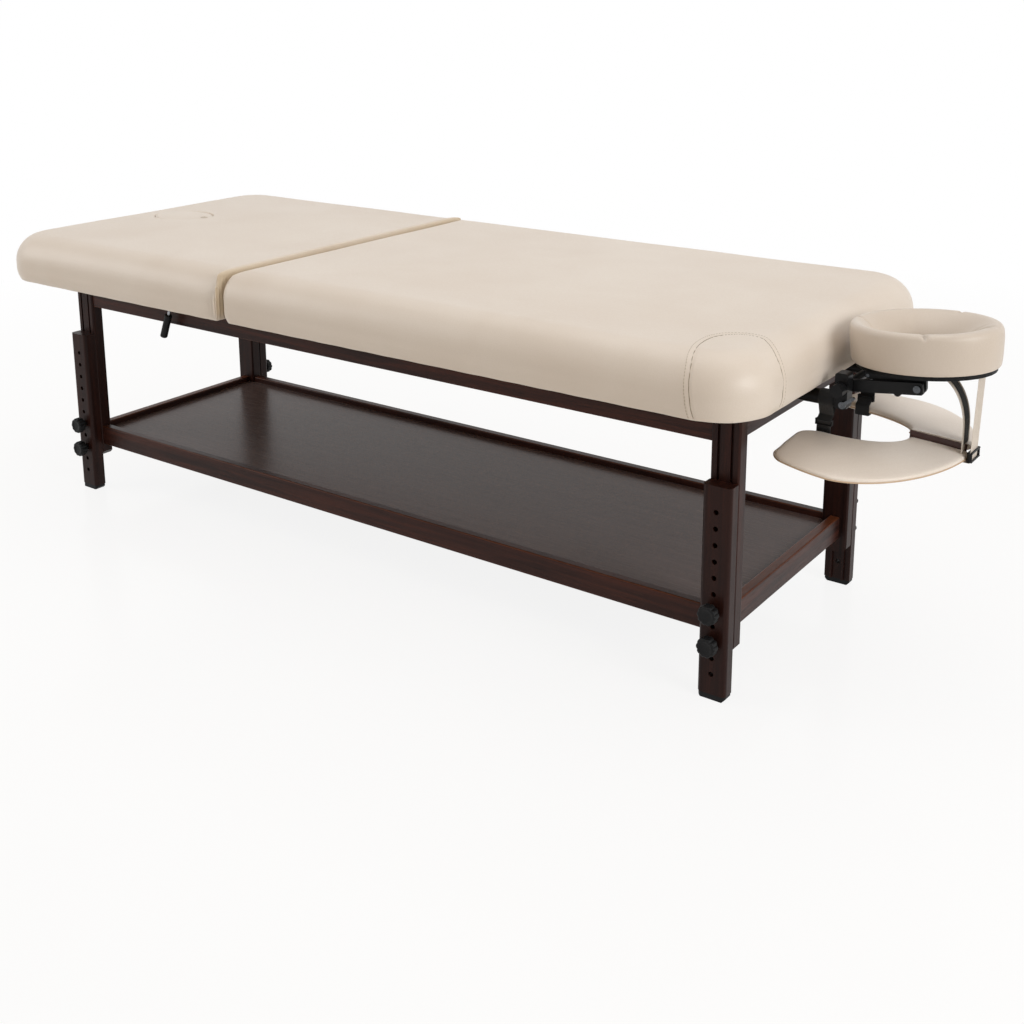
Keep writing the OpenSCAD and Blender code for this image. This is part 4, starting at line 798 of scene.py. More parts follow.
def upholstered(name, sizes, box, rolls, corners, pocket, columns, top_shares, hole=None):
    """Crowned cushion. Rows run from the deck's pocket over the foot, the wall and the roll to the
    middle line of the top, or to the rim of the hole and down it. The top's rows lie at shares of
    that way, and rise by the crown times the smooth step of (d - split roll) / (0.72 half width)
    at the distance d from the nearest edge. box is the cushion's foot end, head end, half width
    and underside; rolls are those of the foot end, the head end and the sides; corners the radii
    of the foot and head end; pocket the insets and height of the deck's place; hole the X of its
    middle, its two radii and its lip's."""
    x0, x1, half, low = box
    insets, heights = cushion_walls(sizes, rolls, pocket["side"])
    insets[0][0], insets[1][0] = pocket["foot"], pocket["head"]
    radii = [np.maximum(LEAST_CORNER, corner - insets[2]) for corner in corners]
    waist = sizes.waist * np.clip(np.sin(np.pi * heights[2] / sizes.thickness), 0, 1)
    ring = cushion_rings(x0 + insets[0], x1 - insets[1], half - insets[2], radii, waist, columns)
    rise = row_heights(heights, columns)
    last, reach = ring[-1], half - insets[2][-1]
    inner = medial(last, x0 + insets[0][-1] + reach, x1 - insets[1][-1] - reach)
    if hole is not None:
        centre = np.array([hole[0], 0.0])
        way = np.arctan2((last - centre)[:, 1] / hole[2], (last - centre)[:, 0] / hole[1])
        inner = centre + np.stack([hole[1] * np.cos(way), hole[2] * np.sin(way)], -1)
    q = np.asarray(top_shares)[:, None, None]
    top = last[None] * (1 - q) + inner[None] * q
    gap = np.minimum(np.minimum(top[..., 0] - x0, x1 - top[..., 0]), half - np.abs(top[..., 1]))
    crown = sizes.crown * smooth_step((gap - sizes.split_roll) / (0.72 * half))
    top = raised(top, rise[-1] + crown)
    under, ceiling = ring[0], pocket["height"]
    if hole is None:
        flat = medial(under, x0 + pocket["foot"] + CEILING_REACH,
                      x1 - pocket["head"] - CEILING_REACH)
        rows = [raised(np.stack([flat, under]), ceiling), raised(ring, rise), top]
    else:
        inside, above = hole_rows(inner, top[-1, :, 2], under, sizes.thickness, ceiling, centre,
                                  hole[3])
        rows = [above, raised(ring, rise), top, inside]
    rows = np.concatenate(rows)
    rows[..., 2] += low
    return grid(name, rows, leatherette(name + "_leatherette"), loop=hole is not None)


def surface_points(tree, guesses):
    """Nearest surface point and normal of each guess, in millimetres."""
    found = [tree.find_nearest(Vector(g * MM)) for g in guesses]
    return np.array([f[0] for f in found]) / MM, np.array([f[1] for f in found])


def seam_parts(path, normal, offset, pitch):
    """Stitches beside a seam: short tubes a pitch apart, thinner at their ends."""
    line = even(path + np.cross(normal, tangents(path)) * offset, pitch)
    radius = 0.45 * np.array([0.5, 0.95, 1.0, 0.95, 0.5])
    share = np.linspace(0.14, 0.86, 5)[:, None]
    return [tube(a + (b - a) * share, radius, 6) for a, b in zip(line[:-1], line[1:])]


def corner_seam():
    """The corner panel's seam on the fixed cushion, as guesses near its surface: up the near long
    side, in over the roll, round on the top and down the cradle end. Places are measured from the
    cushion's near corner at the cradle end."""
    x, y, z = LONG_HIGH[0], LONG_LOW[1], LONG_LOW[2]
    spots = [(-90, 2, 2), (-93, 2, 18), (-96, 0, 40), (-99, 2, 60), (-103, 12, 84), (-108, 28, 96),
             (-113, 50, 101), (-119, 76, 102), (-122, 104, 102), (-118, 132, 103),
             (-104, 155, 103), (-82, 167, 103), (-58, 165, 101), (-36, 151, 96), (-15, 137, 84),
             (-3, 131, 66), (2, 129, 46), (2, 127, 24), (2, 126, 2)]
    return np.array([[x + a, y + b, z + c] for a, b, c in spots])


# Armrest


def armrest_top(sizes):
    """Height of the near half's top at the fold."""
    return FOLD_LINE[2] - sizes.far_rise + sizes.thickness


def side_shape(side, sizes):
    """Droop and rise of the near (-1) or the far (1) half."""
    return (sizes.far_droop, sizes.far_rise) if side > 0 else (sizes.near_droop, 0)


def tilted(points, side, sizes):
    """Points of an armrest half's own frame put in place: drooped about the fold, mirrored for the
    near half, lifted for the far one, and sloped down to the outer end."""
    p = np.asarray(points, float)
    droop, rise = side_shape(side, sizes)
    y, z = turned(p[..., 1], p[..., 2], droop)
    x, z = turned(p[..., 0], z + rise, sizes.slope)
    return np.stack([x + FOLD_LINE[0], y * (1 if side > 0 else -1), z + armrest_top(sizes)], -1)


# The armrest's outlines, in millimetres from its table side: where the fold's outer end lies from
# the fold line, the outer outline's widest place, half length and power, and the inner outline's
# start, half axes and flare.
FOLD_OUT, BELLY, BELLY_A, OUTER_POWER = 53.0, 107.0, 301.0, 1.75
NOTCH_START, NOTCH_A, NOTCH_B, NOTCH_FLARE = 37.0, 124.0, 68.0, 22.0

# Straps. Heights are counted down from a prong's axis.
INNER_EDGE = 65.0               # from the fold line to where a side strap meets its half
LOOP_NECK = (-16.0, -32.0)      # where a side strap's loop closes, across and up from the axis
LEAN_DROP, RUN_DROP = 14.0, 44.0    # where the strap starts to lean, and where it runs doubled
STRAP_LEAN = 5.0                # of the straight front strap between its top and its foot
ARC_REACH, ARC_FOOT = 72.0, 19.7    # of the curved strap's two ends in from the straight one's top
ARC_SIDE_Z = 458.0              # height at which the curved strap has turned straight down
SEWN_EDGE = 8.2                 # from the straight strap's top down to the curved one's start


def armrest_outlines(sizes, count):
    """Outer and inner outline of a half, from the table side to the fold. The outer one is the
    superellipse |x/a|^n + |y/b|^n = 1 with n 1.75; the inner one starts with a flare and goes on as
    a quarter ellipse."""
    x0 = FOLD_OUT - sizes.length
    s = np.linspace(0, 1, count)
    start = math.acos((BELLY / BELLY_A) ** (OUTER_POWER / 2))
    angle = (np.pi - start) * (1 - s)
    c, power = np.cos(angle), 2 / OUTER_POWER
    reach = np.where(c < 0, -BELLY_A, sizes.length - BELLY)
    outer = np.stack([x0 + BELLY + reach * np.abs(c) ** power,
                      sizes.half * np.abs(np.sin(angle)) ** power], -1)
    flare = 5 / 26
    q = np.clip(1 - s / flare, 0, 1)
    turn = np.pi / 2 * (1 - np.clip((s - flare) / (1 - flare), 0, 1))
    notch = x0 + NOTCH_START
    x = np.where(s < flare, notch - NOTCH_START * q, notch + NOTCH_A * np.cos(turn))
    y = np.where(s < flare, NOTCH_B + NOTCH_FLARE * q * q, NOTCH_B * np.sin(turn))
    return outer, np.stack([x, y], -1)


def pad_section(width, thickness, edge, crown, count):
    """Closed section of a thin pad, one for each width: |cos a|^p and |sin a|^0.85 across and up,
    with p = 2 edge / width, so the faces stay flat and the rims are round, and the top is crowned
    by crown (1 - u^2)."""
    turn = full_turn(count)
    power = 2 * edge / width[:, None]
    u = np.sign(np.cos(turn)) * np.abs(np.cos(turn)) ** np.clip(power, 0.12, 1)
    v = np.sign(np.sin(turn)) * np.abs(np.sin(turn)) ** 0.85
    lift = np.where(v > 0, crown * (1 - u ** 2), 0)
    return width[:, None] / 2 * (1 + u), thickness / 2 * (v - 1) + lift


# Cradle


def ring_frame(points, sizes):
    """Points of the plate's own frame, origin at the middle of its underside, tilted into place."""
    reach = sizes.length / 2 - sizes.plate_edge
    p = np.asarray(points, float)
    x, z = turned(p[..., 0], p[..., 2], -sizes.tilt)
    return np.stack([x + PLATE_HIGH[0] - reach * math.cos(sizes.tilt), p[..., 1],
                     z + PLATE_LOW[2] + reach * math.sin(sizes.tilt)], -1)


def ring_section(count):
    """Shares across, from the face hole outwards, and up of the ring's padded section: a flat
    foot, a funnel that rises from the hole, a gentle top, a narrow outer roll and an outer wall
    that leans in to its foot, a little over the plate's edge."""
    outline = [(0.5, 0.0), (0.3, 0.0), (0.12, 0.0), (0.0, 0.06), (-0.03, 0.13), (0.0, 0.22),
               (0.03, 0.34), (0.08, 0.46), (0.16, 0.57), (0.26, 0.68), (0.37, 0.78), (0.49, 0.87),
               (0.61, 0.94), (0.72, 0.985), (0.82, 1.0), (0.9, 0.985), (0.95, 0.95), (0.982, 0.89),
               (0.995, 0.8), (0.998, 0.66), (0.992, 0.5), (0.984, 0.34), (0.974, 0.2), (0.964, 0.1),
               (0.952, 0.03), (0.93, 0.0), (0.88, 0.0), (0.7, 0.0)]
    lead = 3
    loop = outline[-lead:] + outline + outline[:lead]
    curve = spline([(a, b, 0.0) for a, b in loop], 12 * count)
    spacing = np.linspace(0, 1, len(loop))
    t = np.linspace(spacing[lead], spacing[-lead], count, endpoint=False)
    full = np.linspace(0, 1, len(curve))
    return np.stack([np.interp(t, full, curve[:, k]) for k in (0, 1)], -1)


class MASSAGE_OT_stage(bpy.types.Operator):
    """Camera, pale floor, white surround and soft lamps"""

    bl_idname = "massage.stage"
    bl_label = "Stage"

    place: FloatVectorProperty(name="Place", description="Where the photograph was taken from",
                               default=(1.5992, -2.0849, 1.1649), unit="LENGTH")
    yaw: angle_deg("Yaw", "Turn towards -X", 35.915)
    pitch: angle_deg("Pitch", "Tilt down", 12.991)
    roll: angle_deg("Roll", "Roll about the view", -0.267)
    lens: FloatProperty(name="Lens", description="Focal length on a 36 mm sensor", default=46.45,
                        unit="CAMERA")
    shift: FloatVectorProperty(name="Shift", description="Shift of the view in sensor widths",
                               size=2, default=(0.00266, -0.22))

    def execute(self, context):
        self.add_camera(context)
        self.add_world(context)
        self.add_floor()
        self.add_lamps(context)
        context.scene.view_settings.view_transform = "Standard"
        return {"FINISHED"}

    def add_camera(self, context):
        """Camera whose view was fitted to the photograph."""
        data = bpy.data.cameras.new("camera")
        data.lens, data.sensor_width = self.lens, 36.0
        data.shift_x, data.shift_y = self.shift
        data.clip_end = 200.0
        camera = bpy.data.objects.new("camera", data)
        context.scene.collection.objects.link(camera)
        turn = (Matrix.Rotation(self.yaw, 4, "Z")
                @ Matrix.Rotation(math.pi / 2 - self.pitch, 4, "X")
                @ Matrix.Rotation(self.roll, 4, "Z"))
        camera.matrix_world = Matrix.Translation(self.place) @ turn
        context.scene.camera = camera

    def seen(self, tree):
        """1 for rays from the camera and for rays that a mirror or glass sends on."""
        rays = node(tree, "LightPath", out=None)
        first = node(tree, "Math", {0: rays["Is Camera Ray"], 1: rays["Is Glossy Ray"]},
                     operation="MAXIMUM")
        return node(tree, "Math", {0: first, 1: rays["Is Transmission Ray"]}, operation="MAXIMUM")

    def add_world(self, context):
        """Soft warm light all round, seen as plain white."""
        world = bpy.data.worlds.new("white_surround")
        world.use_nodes = True
        tree = world.node_tree
        tree.nodes.clear()
        soft = node(tree, "Background", {"Color": srgb("#FFF2E4"), "Strength": 0.36})
        white = node(tree, "Background", {"Color": srgb("#FFFFFF"), "Strength": 1.0})
        mix = node(tree, "MixShader", {0: self.seen(tree), 1: soft, 2: white})
        node(tree, "OutputWorld", {"Surface": mix})
        context.scene.world = world

    def add_floor(self):
        """White lacquered sheet: it takes a soft shadow and a very faint reflection near the table,
        and turns plain white from 1.3 to 3.2 m out."""
        material = bpy.data.materials.new("white_floor")
        material.use_nodes = True
        tree = material.node_tree
        tree.nodes.clear()
        place = node(tree, "TexCoord", out="Object")
        drift = node(tree, "TexNoise", {"Vector": place, "Scale": 0.7, "Detail": 2.0})
        rough = node(tree, "MapRange", {0: drift, 1: 0.3, 2: 0.7, 3: 0.14, 4: 0.2})
        sheet = node(tree, "BsdfPrincipled", {"Base Color": srgb("#F8F5F0"), "Roughness": rough})
        glow = node(tree, "Emission", {"Color": srgb("#FFFFFF"), "Strength": 1.0})
        away = node(tree, "VectorMath", {0: place}, "Value", operation="LENGTH")
        white = node(tree, "MapRange", {0: away, 1: 1.3, 2: 3.2, 3: 0.87, 4: 1.0})
        share = node(tree, "Math", {0: self.seen(tree), 1: white}, operation="MULTIPLY")
        mix = node(tree, "MixShader", {0: share, 1: sheet, 2: glow})
        node(tree, "OutputMaterial", {"Surface": mix})
        reach = 15.0 / MM
        corners = reach * np.array([(-1, -1, 0), (1, -1, 0), (1, 1, 0), (-1, 1, 0)])
        floor = piece("floor", corners, [[0, 1, 2, 3]], material, weld=False, smooth=False)

    def add_lamps(self, context):
        """Soft boxes, each with its place, what it points at, its size in metres and its watts:
        the key beyond the cradle end, one overhead, one low beyond the foot end."""
        boxes = [("key", (4.2, -0.8, 2.0), (0.7, 0.0, 0.5), 1.7, 75),
                 ("top", (0.1, 0.1, 3.3), (0.0, 0.0, 0.5), 3.2, 47),
                 ("left", (-3.3, -2.0, 1.9), (-1.1, 0.0, 0.5), 1.8, 33)]
        for name, place, target, size, power in boxes:
            data = bpy.data.lights.new(name, "AREA")
            data.shape, data.size, data.energy = "SQUARE", size, power
            data.color = (0.97, 0.985, 1.0)
            lamp = bpy.data.objects.new(name, data)
            context.scene.collection.objects.link(lamp)
            turn = (Vector(place) - Vector(target)).to_track_quat("Z", "Y").to_matrix().to_4x4()
            lamp.matrix_world = Matrix.Translation(place) @ turn


class MASSAGE_OT_finishes(bpy.types.Operator):
    """Wood, metal and plastic finishes on the CAD pieces"""

    bl_idname = "massage.finishes"
    bl_label = "Finishes"

    def execute(self, context):
        # Painted shade: the uprights are the same stain, darkened by half.
        upright = espresso_wood("upright_espresso_beech", 2, depth=0.5, gloss=0.12)
        lengthwise = espresso_wood("lengthwise_espresso_beech", 0)
        nylon = moulded_nylon("black_nylon")
        groups = [
            (plated_steel("zinc_plated_steel", "metal"), "leg_studs", "hinge_leaves_fixed",
             "hinge_leaves_moving", "prop_brackets", "release_lever", "prong_sockets"),
            (plated_steel("blackened_steel", "dull_metal"), "cam_lever", "cradle_pins"),
            (powder_coat(), "prop_racks", "prop_frame", "prongs", "cradle_axle", "cradle_arms",
             "tilt_bracket"),
            (lengthwise, "shelf_cleats", "frame_dowels"),
        ]
        painted = {name: material for material, *names in groups for name in names}
        painted |= {
            "cradle_plate": nylon,
            "cross_bars": espresso_wood("crosswise_espresso_beech", 1),
            "shelf_panel": satin_veneer(),
            "deck_long": birch_plywood("deck_plywood", DECK_LOW[2]),
            "deck_back": birch_plywood("deck_back_plywood", DECK_BACK_LOW[2]),
        }
        for corner in ("front_head", "front_foot", "back_head", "back_foot"):
            painted |= {"post_" + corner: upright, "slider_" + corner: upright,
                        "glide_" + corner: nylon}
        for name in ("top_rail_front", "top_rail_back", "top_end_rails",
                     "shelf_rail_front", "shelf_rail_back", "shelf_end_rails"):
            low, high = box_mm(name)
            along, sides = (1, None) if "end" in name else (0, (low[1], high[1]))
            painted[name] = espresso_wood(name + "_espresso_beech", along, (low[2], high[2]), sides)
        for name, material in painted.items():
            mesh = frame["nodes"][name].data
            mesh.materials.clear()
            mesh.materials.append(material)
        return {"FINISHED"}


class MASSAGE_OT_long_cushion(bpy.types.Operator):
    """Fixed cushion with its seamed corner panel"""

    bl_idname = "massage.long_cushion"
    bl_label = "Fixed cushion"

    def execute(self, context):
        sizes = setting("cushions")
        box = LONG_LOW[0], LONG_HIGH[0], LONG_HIGH[1], LONG_LOW[2]
        shares = np.concatenate([np.linspace(0, 0.42, 44)[1:], np.linspace(0.42, 1, 24)[1:]])
        cushion = upholstered("long_cushion", sizes, box,
                              (sizes.split_roll, sizes.roll, sizes.roll),
                              (sizes.split_corner, sizes.corner),
                              deck_pocket(box, DECK_LOW, DECK_HIGH),
                              cushion_columns((58, 12), 130, (90, 110)), shares)
        push(cushion, taut_ripple(vertices(cushion.data), sizes, LONG_LOW[2]))
        tree = BVHTree.FromObject(cushion, context.evaluated_depsgraph_get())
        path, normal = surface_points(tree, even(spline(corner_seam(), 400), 2.0))
        push(cushion, self.seam_valley(vertices(cushion.data), path, sizes.seam_depth))
        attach(cushion, "frame")
        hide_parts("cushion_long")
        seam = [tube(path - normal * (sizes.seam_depth * 0.72), 0.5, 6)]
        stitches = seam_parts(path, normal, 2 * PULL_PLACE, sizes.stitch)
        for name, parts, tone in (("corner_seam_thread", seam, "thread"),
                                  ("corner_stitches", stitches, "stitch")):
            line = joined(name, parts, sewing_thread(name + "_nylon", tone), weld=False)
            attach(line, "frame")
        return {"FINISHED"}

    def seam_valley(self, places, path, depth):
        """Offset of each vertex by a seam at the distance d: a pull 0.25 exp(-((d - 4)/3.4)^2) of
        the cover beside it, less a valley depth * exp(-(d/2.3)^2)."""
        near = (places[:, 0] > LONG_HIGH[0] - PANEL_REACH) & (places[:, 1] < -PANEL_REACH)
        gap = path_distance(places[near], path)
        offset = np.zeros(len(places))
        offset[near] = (0.25 * np.exp(-((gap - PULL_PLACE) / 3.4) ** 2)
                        - depth * np.exp(-(gap / 2.3) ** 2))
        return offset


class MASSAGE_OT_back_cushion(bpy.types.Operator):
    """Backrest cushion with its breathing hole, reaching over the soft strip at the split"""

    bl_idname = "massage.back_cushion"
    bl_label = "Backrest cushion"

    def execute(self, context):
        sizes = setting("cushions")
        x1, half = EDGE_HIGH[0], BACK_HIGH[1]
        box = BACK_LOW[0], x1, half, BACK_LOW[2]
        lip, play = 3.2, 0.5
        hole = ((PLUG_LOW[0] + PLUG_HIGH[0]) / 2, (PLUG_HIGH[0] - PLUG_LOW[0]) / 2 + play + lip,
                PLUG_HIGH[1] + play + lip, lip)
        cushion = upholstered("back_cushion", sizes, box, (sizes.roll, sizes.back_roll, sizes.roll),
                              (sizes.corner, sizes.back_corner),
                              deck_pocket(box, DECK_BACK_LOW, DECK_BACK_HIGH),
                              cushion_columns((34, 26), 96, (70, 170)),
                              np.linspace(0, 1, 52)[1:], hole)
        places = vertices(cushion.data)
        push(cushion, taut_ripple(places, sizes, BACK_LOW[2]) + self.pleats(places, x1, half))
        # Painted shade: the split end is tinted tan over its last few millimetres, where it lies in
        # the gap's shade.
        gather = cushion.data.attributes.new("gather", "FLOAT", "POINT")
        tan = SPLIT_SHADE_SHARE * smooth_step((places[:, 0] - x1 + SPLIT_SHADE_WIDTH) / SPLIT_SHADE_WIDTH)
        gather.data.foreach_set("value", tan)
        cushion.data.materials[0] = leatherette("back_cushion_gathered_leatherette", gathered=True)
        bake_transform(cushion)
        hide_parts("cushion_back", "cushion_back_edge")
        return {"FINISHED"}

    def pleats(self, places, x1, half):
        """Gathers of the cover at the split's corners: cos of the way round the corner, a wave for
        each pitch, fading within 40 mm of it and below the roll."""
        x, y, z = places.T
        edge = half - np.abs(y)
        near = np.exp(-((x1 - x + edge - 12) / 24) ** 2)
        wall = (z > BACK_LOW[2] + 4) * np.clip((BACK_HIGH[2] - 8 - z) / 20, 0, 1)
        wave = np.cos(2 * np.pi * (x - x1 + edge) / PLEAT_PITCH)
        return PLEAT_DEPTH * near * wall * (wave - 1)


class MASSAGE_OT_plug(bpy.types.Operator):
    """Oval plug of the breathing hole, domed, with its finger tab"""

    bl_idname = "massage.plug"
    bl_label = "Plug"

    def execute(self, context):
        centre = (PLUG_LOW[:2] + PLUG_HIGH[:2]) / 2
        radii = (PLUG_HIGH[:2] - PLUG_LOW[:2]) / 2
        low, high = PLUG_LOW[2], PLUG_HIGH[2] - 2.4
        # Rows: the underside, the wall, a roll r (1 - cos a) in and r sin a up, and a dome that
        # rises by 2 t - t^2 over the share t of the way to the middle. The difference between the
        # oval's radii shrinks over the inner half of the way.
        dome, roll = 2.2, 4.5
        wall = np.linspace(low, high - roll, 8)
        wall[0] += 1.5
        turns = np.radians(np.linspace(0, 90, 12))[1:]
        shares = np.linspace(0, 1, 16)[1:]
        inset = np.concatenate([[radii[1]], [2.0], np.full(8, 0.2), roll * (1 - np.cos(turns)),
                                roll + (radii[1] - roll) * shares])
        height = np.concatenate([[low], [low], wall, high - roll + roll * np.sin(turns),
                                 high + dome * (2 * shares - shares ** 2)])
        turn = full_turn(120)
        keep = 1 - inset / radii[1]
        reach = keep * radii[1] + (radii[0] - radii[1]) * np.where(keep > 0.5, 1.0, keep / 0.5)
        plan = np.stack([np.outer(reach, np.cos(turn)),
                         np.outer(keep * radii[1], np.sin(turn))], -1)
        rows = raised(centre + plan, height[:, None])
        plug = grid("hole_plug_cover", rows, leatherette("plug_leatherette"))
        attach(plug, "plug")
        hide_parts("hole_plug")
        self.add_tab(centre, radii, high)
        return {"FINISHED"}

    def add_tab(self, centre, radii, high):
        """Short loop of webbing sewn to the plug's end, to lift it by: it stands out by
        sin(pi s)^0.8 and rises evenly."""
        s = np.linspace(0, 1, 15)
        x = centre[0] + radii[0] - 14 + 12 * np.sin(np.pi * s) ** 0.8
        path = np.stack([x, np.full(15, centre[1]), high - 0.4 + 3.4 * s], -1)
        rows, uv = ribbon(path, (0, 1, 0), 14, 1.2)
        weave = woven_webbing("tab_webbing", tint("cover_shade"), 1.0)
        tab = grid("plug_tab", rows, weave, caps=True, uv=uv, weld=False, sharp=50)
        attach(tab, "plug")


class MASSAGE_OT_cradle_cushion(bpy.types.Operator):
    """Horseshoe cushion of the face cradle"""

    bl_idname = "massage.cradle_cushion"
    bl_label = "Cradle cushion"

    def execute(self, context):
        sizes = setting("cradle")
        # Sections stand at angles round the table-side gap, closer together at the two tips, where
        # they shrink by 0.16 (1 - sqrt(1 - t^2)). Each runs from the face hole's ellipse to the
        # outer one.
        s = np.linspace(-1, 1, 220)
        s = np.sign(s) * (1 - (1 - np.abs(s)) ** 1.15)
        angle = (math.pi - sizes.opening) * s
        tip = np.clip((np.abs(s) - 0.982) / 0.018, 0, 1)
        close = 1 - 0.16 * (1 - np.sqrt(1 - tip ** 2))
        across, up = (0.5 + (part[None] - 0.5) * close[:, None] for part in ring_section(72).T)
        up = np.where(up > 0.05, up * (1 - self.pleat(angle, across)), up)
        hole_a = (sizes.length - sizes.brow - sizes.tips) / 2
        shift = (sizes.tips - sizes.brow) / 2
        inner = self.oval(angle, hole_a, sizes.width / 2 - sizes.side, shift)
        outer = self.oval(angle, sizes.length / 2, sizes.width / 2, 0)
        plan = inner[:, None] + (outer - inner)[:, None] * across[..., None]
        crown = 1 + 0.02 * np.cos(angle)[:, None]
        rows = raised(plan, sizes.plate + sizes.thickness * up * crown)
        # Painted shade: the cradle's cover is a darker copy of the cream leatherette.
        cover = leatherette("cradle_leatherette", "cradle", "cradle_shade")
        ring = grid("cradle_pad", ring_frame(rows, sizes), cover, caps=True)
        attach(ring, "cradle_platform")
        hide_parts("cradle_cushion")
        return {"FINISHED"}

    def oval(self, angle, a, b, shift):
        """Points of an ellipse: shift + a cos t along the table and b sin t across it."""
        return np.stack([shift + a * np.cos(angle), b * np.sin(angle)], -1)

    def pleat(self, angle, across):
        """Gathers of the cover, depth * exp(-(a - a0)^2 / w^2) * exp(-(s - s0)^2 / v^2): each has
        its angle and width in degrees, its depth, and its place across the section and its reach.
        The deep one is the tuck at the forehead; the two sharp ones pinch the outer edge."""
        gathers = [(0, 4, 0.3, 0.3, 0.32), (12, 4, 0.06, 0.35, 0.25), (-12, 4, 0.06, 0.35, 0.25),
                   (-74, 1.6, 0.13, 0.86, 0.13), (74, 1.6, 0.13, 0.86, 0.13),
                   (-112, 5, 0.04, 0.25, 0.25), (112, 5, 0.04, 0.25, 0.25)]
        degrees = np.degrees(angle)[:, None]
        return sum(depth * np.exp(-((degrees - place) / width) ** 2
                                  - ((across - spot) / reach) ** 2)
                   for place, width, depth, spot, reach in gathers)


class MASSAGE_OT_armrest(bpy.types.Operator):
    """Two padded halves of the armrest, with tan cords of painted shade along their lower rims, and
    the fabric hinge in dark painted shade
    """

    bl_idname = "massage.armrest"
    bl_label = "Armrest"

    def execute(self, context):
        sizes = setting("armrest")
        # Painted light: the armrest's cover is a lighter copy of the cream, to offset the shade of
        # the ring and table over it.
        cover = leatherette("armrest_leatherette", "armrest")
        # Painted shade: tan for the cords along the lower rims.
        rim_shade = leatherette("armrest_binding", "painted_rim_shade", "painted_rim_shade")
        # Painted shade: dark red-brown for the fold.
        fold = leatherette("armrest_fold_leatherette", "fold", "fold")
        # Shares s along a half, and its thickness, which rises from the table side over the first
        # of them by sqrt(1 - (1 - s / first)^2).
        first = 0.03
        s = np.concatenate([first * np.linspace(0, 1, 10)[:-1] ** 2,
                            first + (1 - first) * (1 - np.linspace(1, 0, 145) ** 1.25)])
        thin = 0.2 + 0.8 * np.sqrt(np.clip(1 - (1 - s / first).clip(0) ** 2, 0, 1))
        lines = armrest_outlines(sizes, 400)
        width = np.interp(s, np.linspace(0, 1, 400), np.linalg.norm(lines[0] - lines[1], axis=1))
        across, up = pad_section(width, sizes.thickness, 4.5, 1.0, 60)
        up = -sizes.thickness / 2 + (up + sizes.thickness / 2) * thin[:, None]
        for side, name, gap, body in ((-1, "near", 1.0, "cradle"),
                                      (1, "far", 0.6, "armrest_outer")):
            plan = self.plan(sizes, lines, s[:, None], across / width[:, None], gap)
            half = grid("armrest_" + name + "_pad", tilted(raised(plan, up), side, sizes), cover,
                        caps=True)
            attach(half, body)
            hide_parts("armrest_" + name)
            # Painted shade: a tan cord along each half's lower rim stands for the rim's shaded
            # edge.
            run = np.linspace(0, 1, 300)
            edge = np.concatenate([self.plan(sizes, lines, run[::-1], 0 * run, gap)[:-1],
                                   self.plan(sizes, lines, 0 * run, run, gap)[:-1],
                                   self.plan(sizes, lines, run, 0 * run + 1, gap)])
            path = even(tilted(raised(edge, -0.62 * sizes.thickness), side, sizes), 3.0)
            cord = joined("armrest_" + name + "_binding", [tube(path, 1.3)], rim_shade, weld=False)
            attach(cord, body)
        # Painted shade: the fold strips are dark red-brown because the fold lies in shade.
        self.add_fold(sizes, fold, 1, "armrest_hinge_fabric", (0.0, 0.5), (-10.6, -1.5))
        self.add_fold(sizes, fold, -1, "armrest_fold_flap", (0.2, 0.7), (-7.0, 4.2))
        return {"FINISHED"}

    def plan(self, sizes, lines, s, u, gap):
        """Place of the share s along and u across a half. Near the table side s grows by
        r - sqrt(r^2 - (r - d)^2), d from each outline, which rounds both corners."""
        outer, inner = lines
        steps = np.linspace(0, 1, len(outer))
        s, u = np.broadcast_arrays(s, u)
        width = np.linalg.norm(outer[0] - inner[0])
        bite = 0
        for radius, distance in ((sizes.outer_corner, (1 - u) * width),
                                 (sizes.inner_corner, u * width)):
            left = np.clip(radius - distance, 0, radius)
            bite = bite + radius - np.sqrt(radius ** 2 - left ** 2)
        share = u[..., None]
        start = (outer[8] - outer[0]) * share + (inner[8] - inner[0]) * (1 - share)
        t = s + bite * steps[8] / np.linalg.norm(start, axis=-1) * (1 - s) ** 8
        ends = [np.stack([np.interp(t, steps, line[:, k]) for k in (0, 1)], -1)
                for line in (inner, outer)]
        flat = ends[0] + (ends[1] - ends[0]) * share
        return flat + np.stack([4 * (1 - s) ** 2, np.full(s.shape, gap)], -1)

    def add_fold(self, sizes, material, side, name, reach, rise):
        """Fabric over a folding edge, coloured dark red-brown as painted shade of the fold: a thin
        strip with an elliptic section, cos and sin of a turn times half its width and height, and a
        slight ripple sin(x / 2.2) along it."""
        x = np.linspace(FOLD_OUT - sizes.length + NOTCH_START + NOTCH_A + 1, FOLD_OUT - 5, 40)
        turn = full_turn(20)
        middle, half = (reach[0] + reach[1]) / 2, (reach[1] - reach[0]) / 2
        y = middle + (half * 0.8 + 0.05 * np.sin(x / 2.2)[:, None]) * np.cos(turn)
        z = (rise[0] + rise[1]) / 2 + (rise[1] - rise[0]) / 2 * np.sin(turn)
        rows = np.stack(np.broadcast_arrays(x[:, None], y, z[None]), -1)
        strip = grid(name, tilted(rows, side, sizes), material, caps=True)
        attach(strip, "armrest_outer" if side > 0 else "cradle")
        if side > 0:
            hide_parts("armrest_hinge")


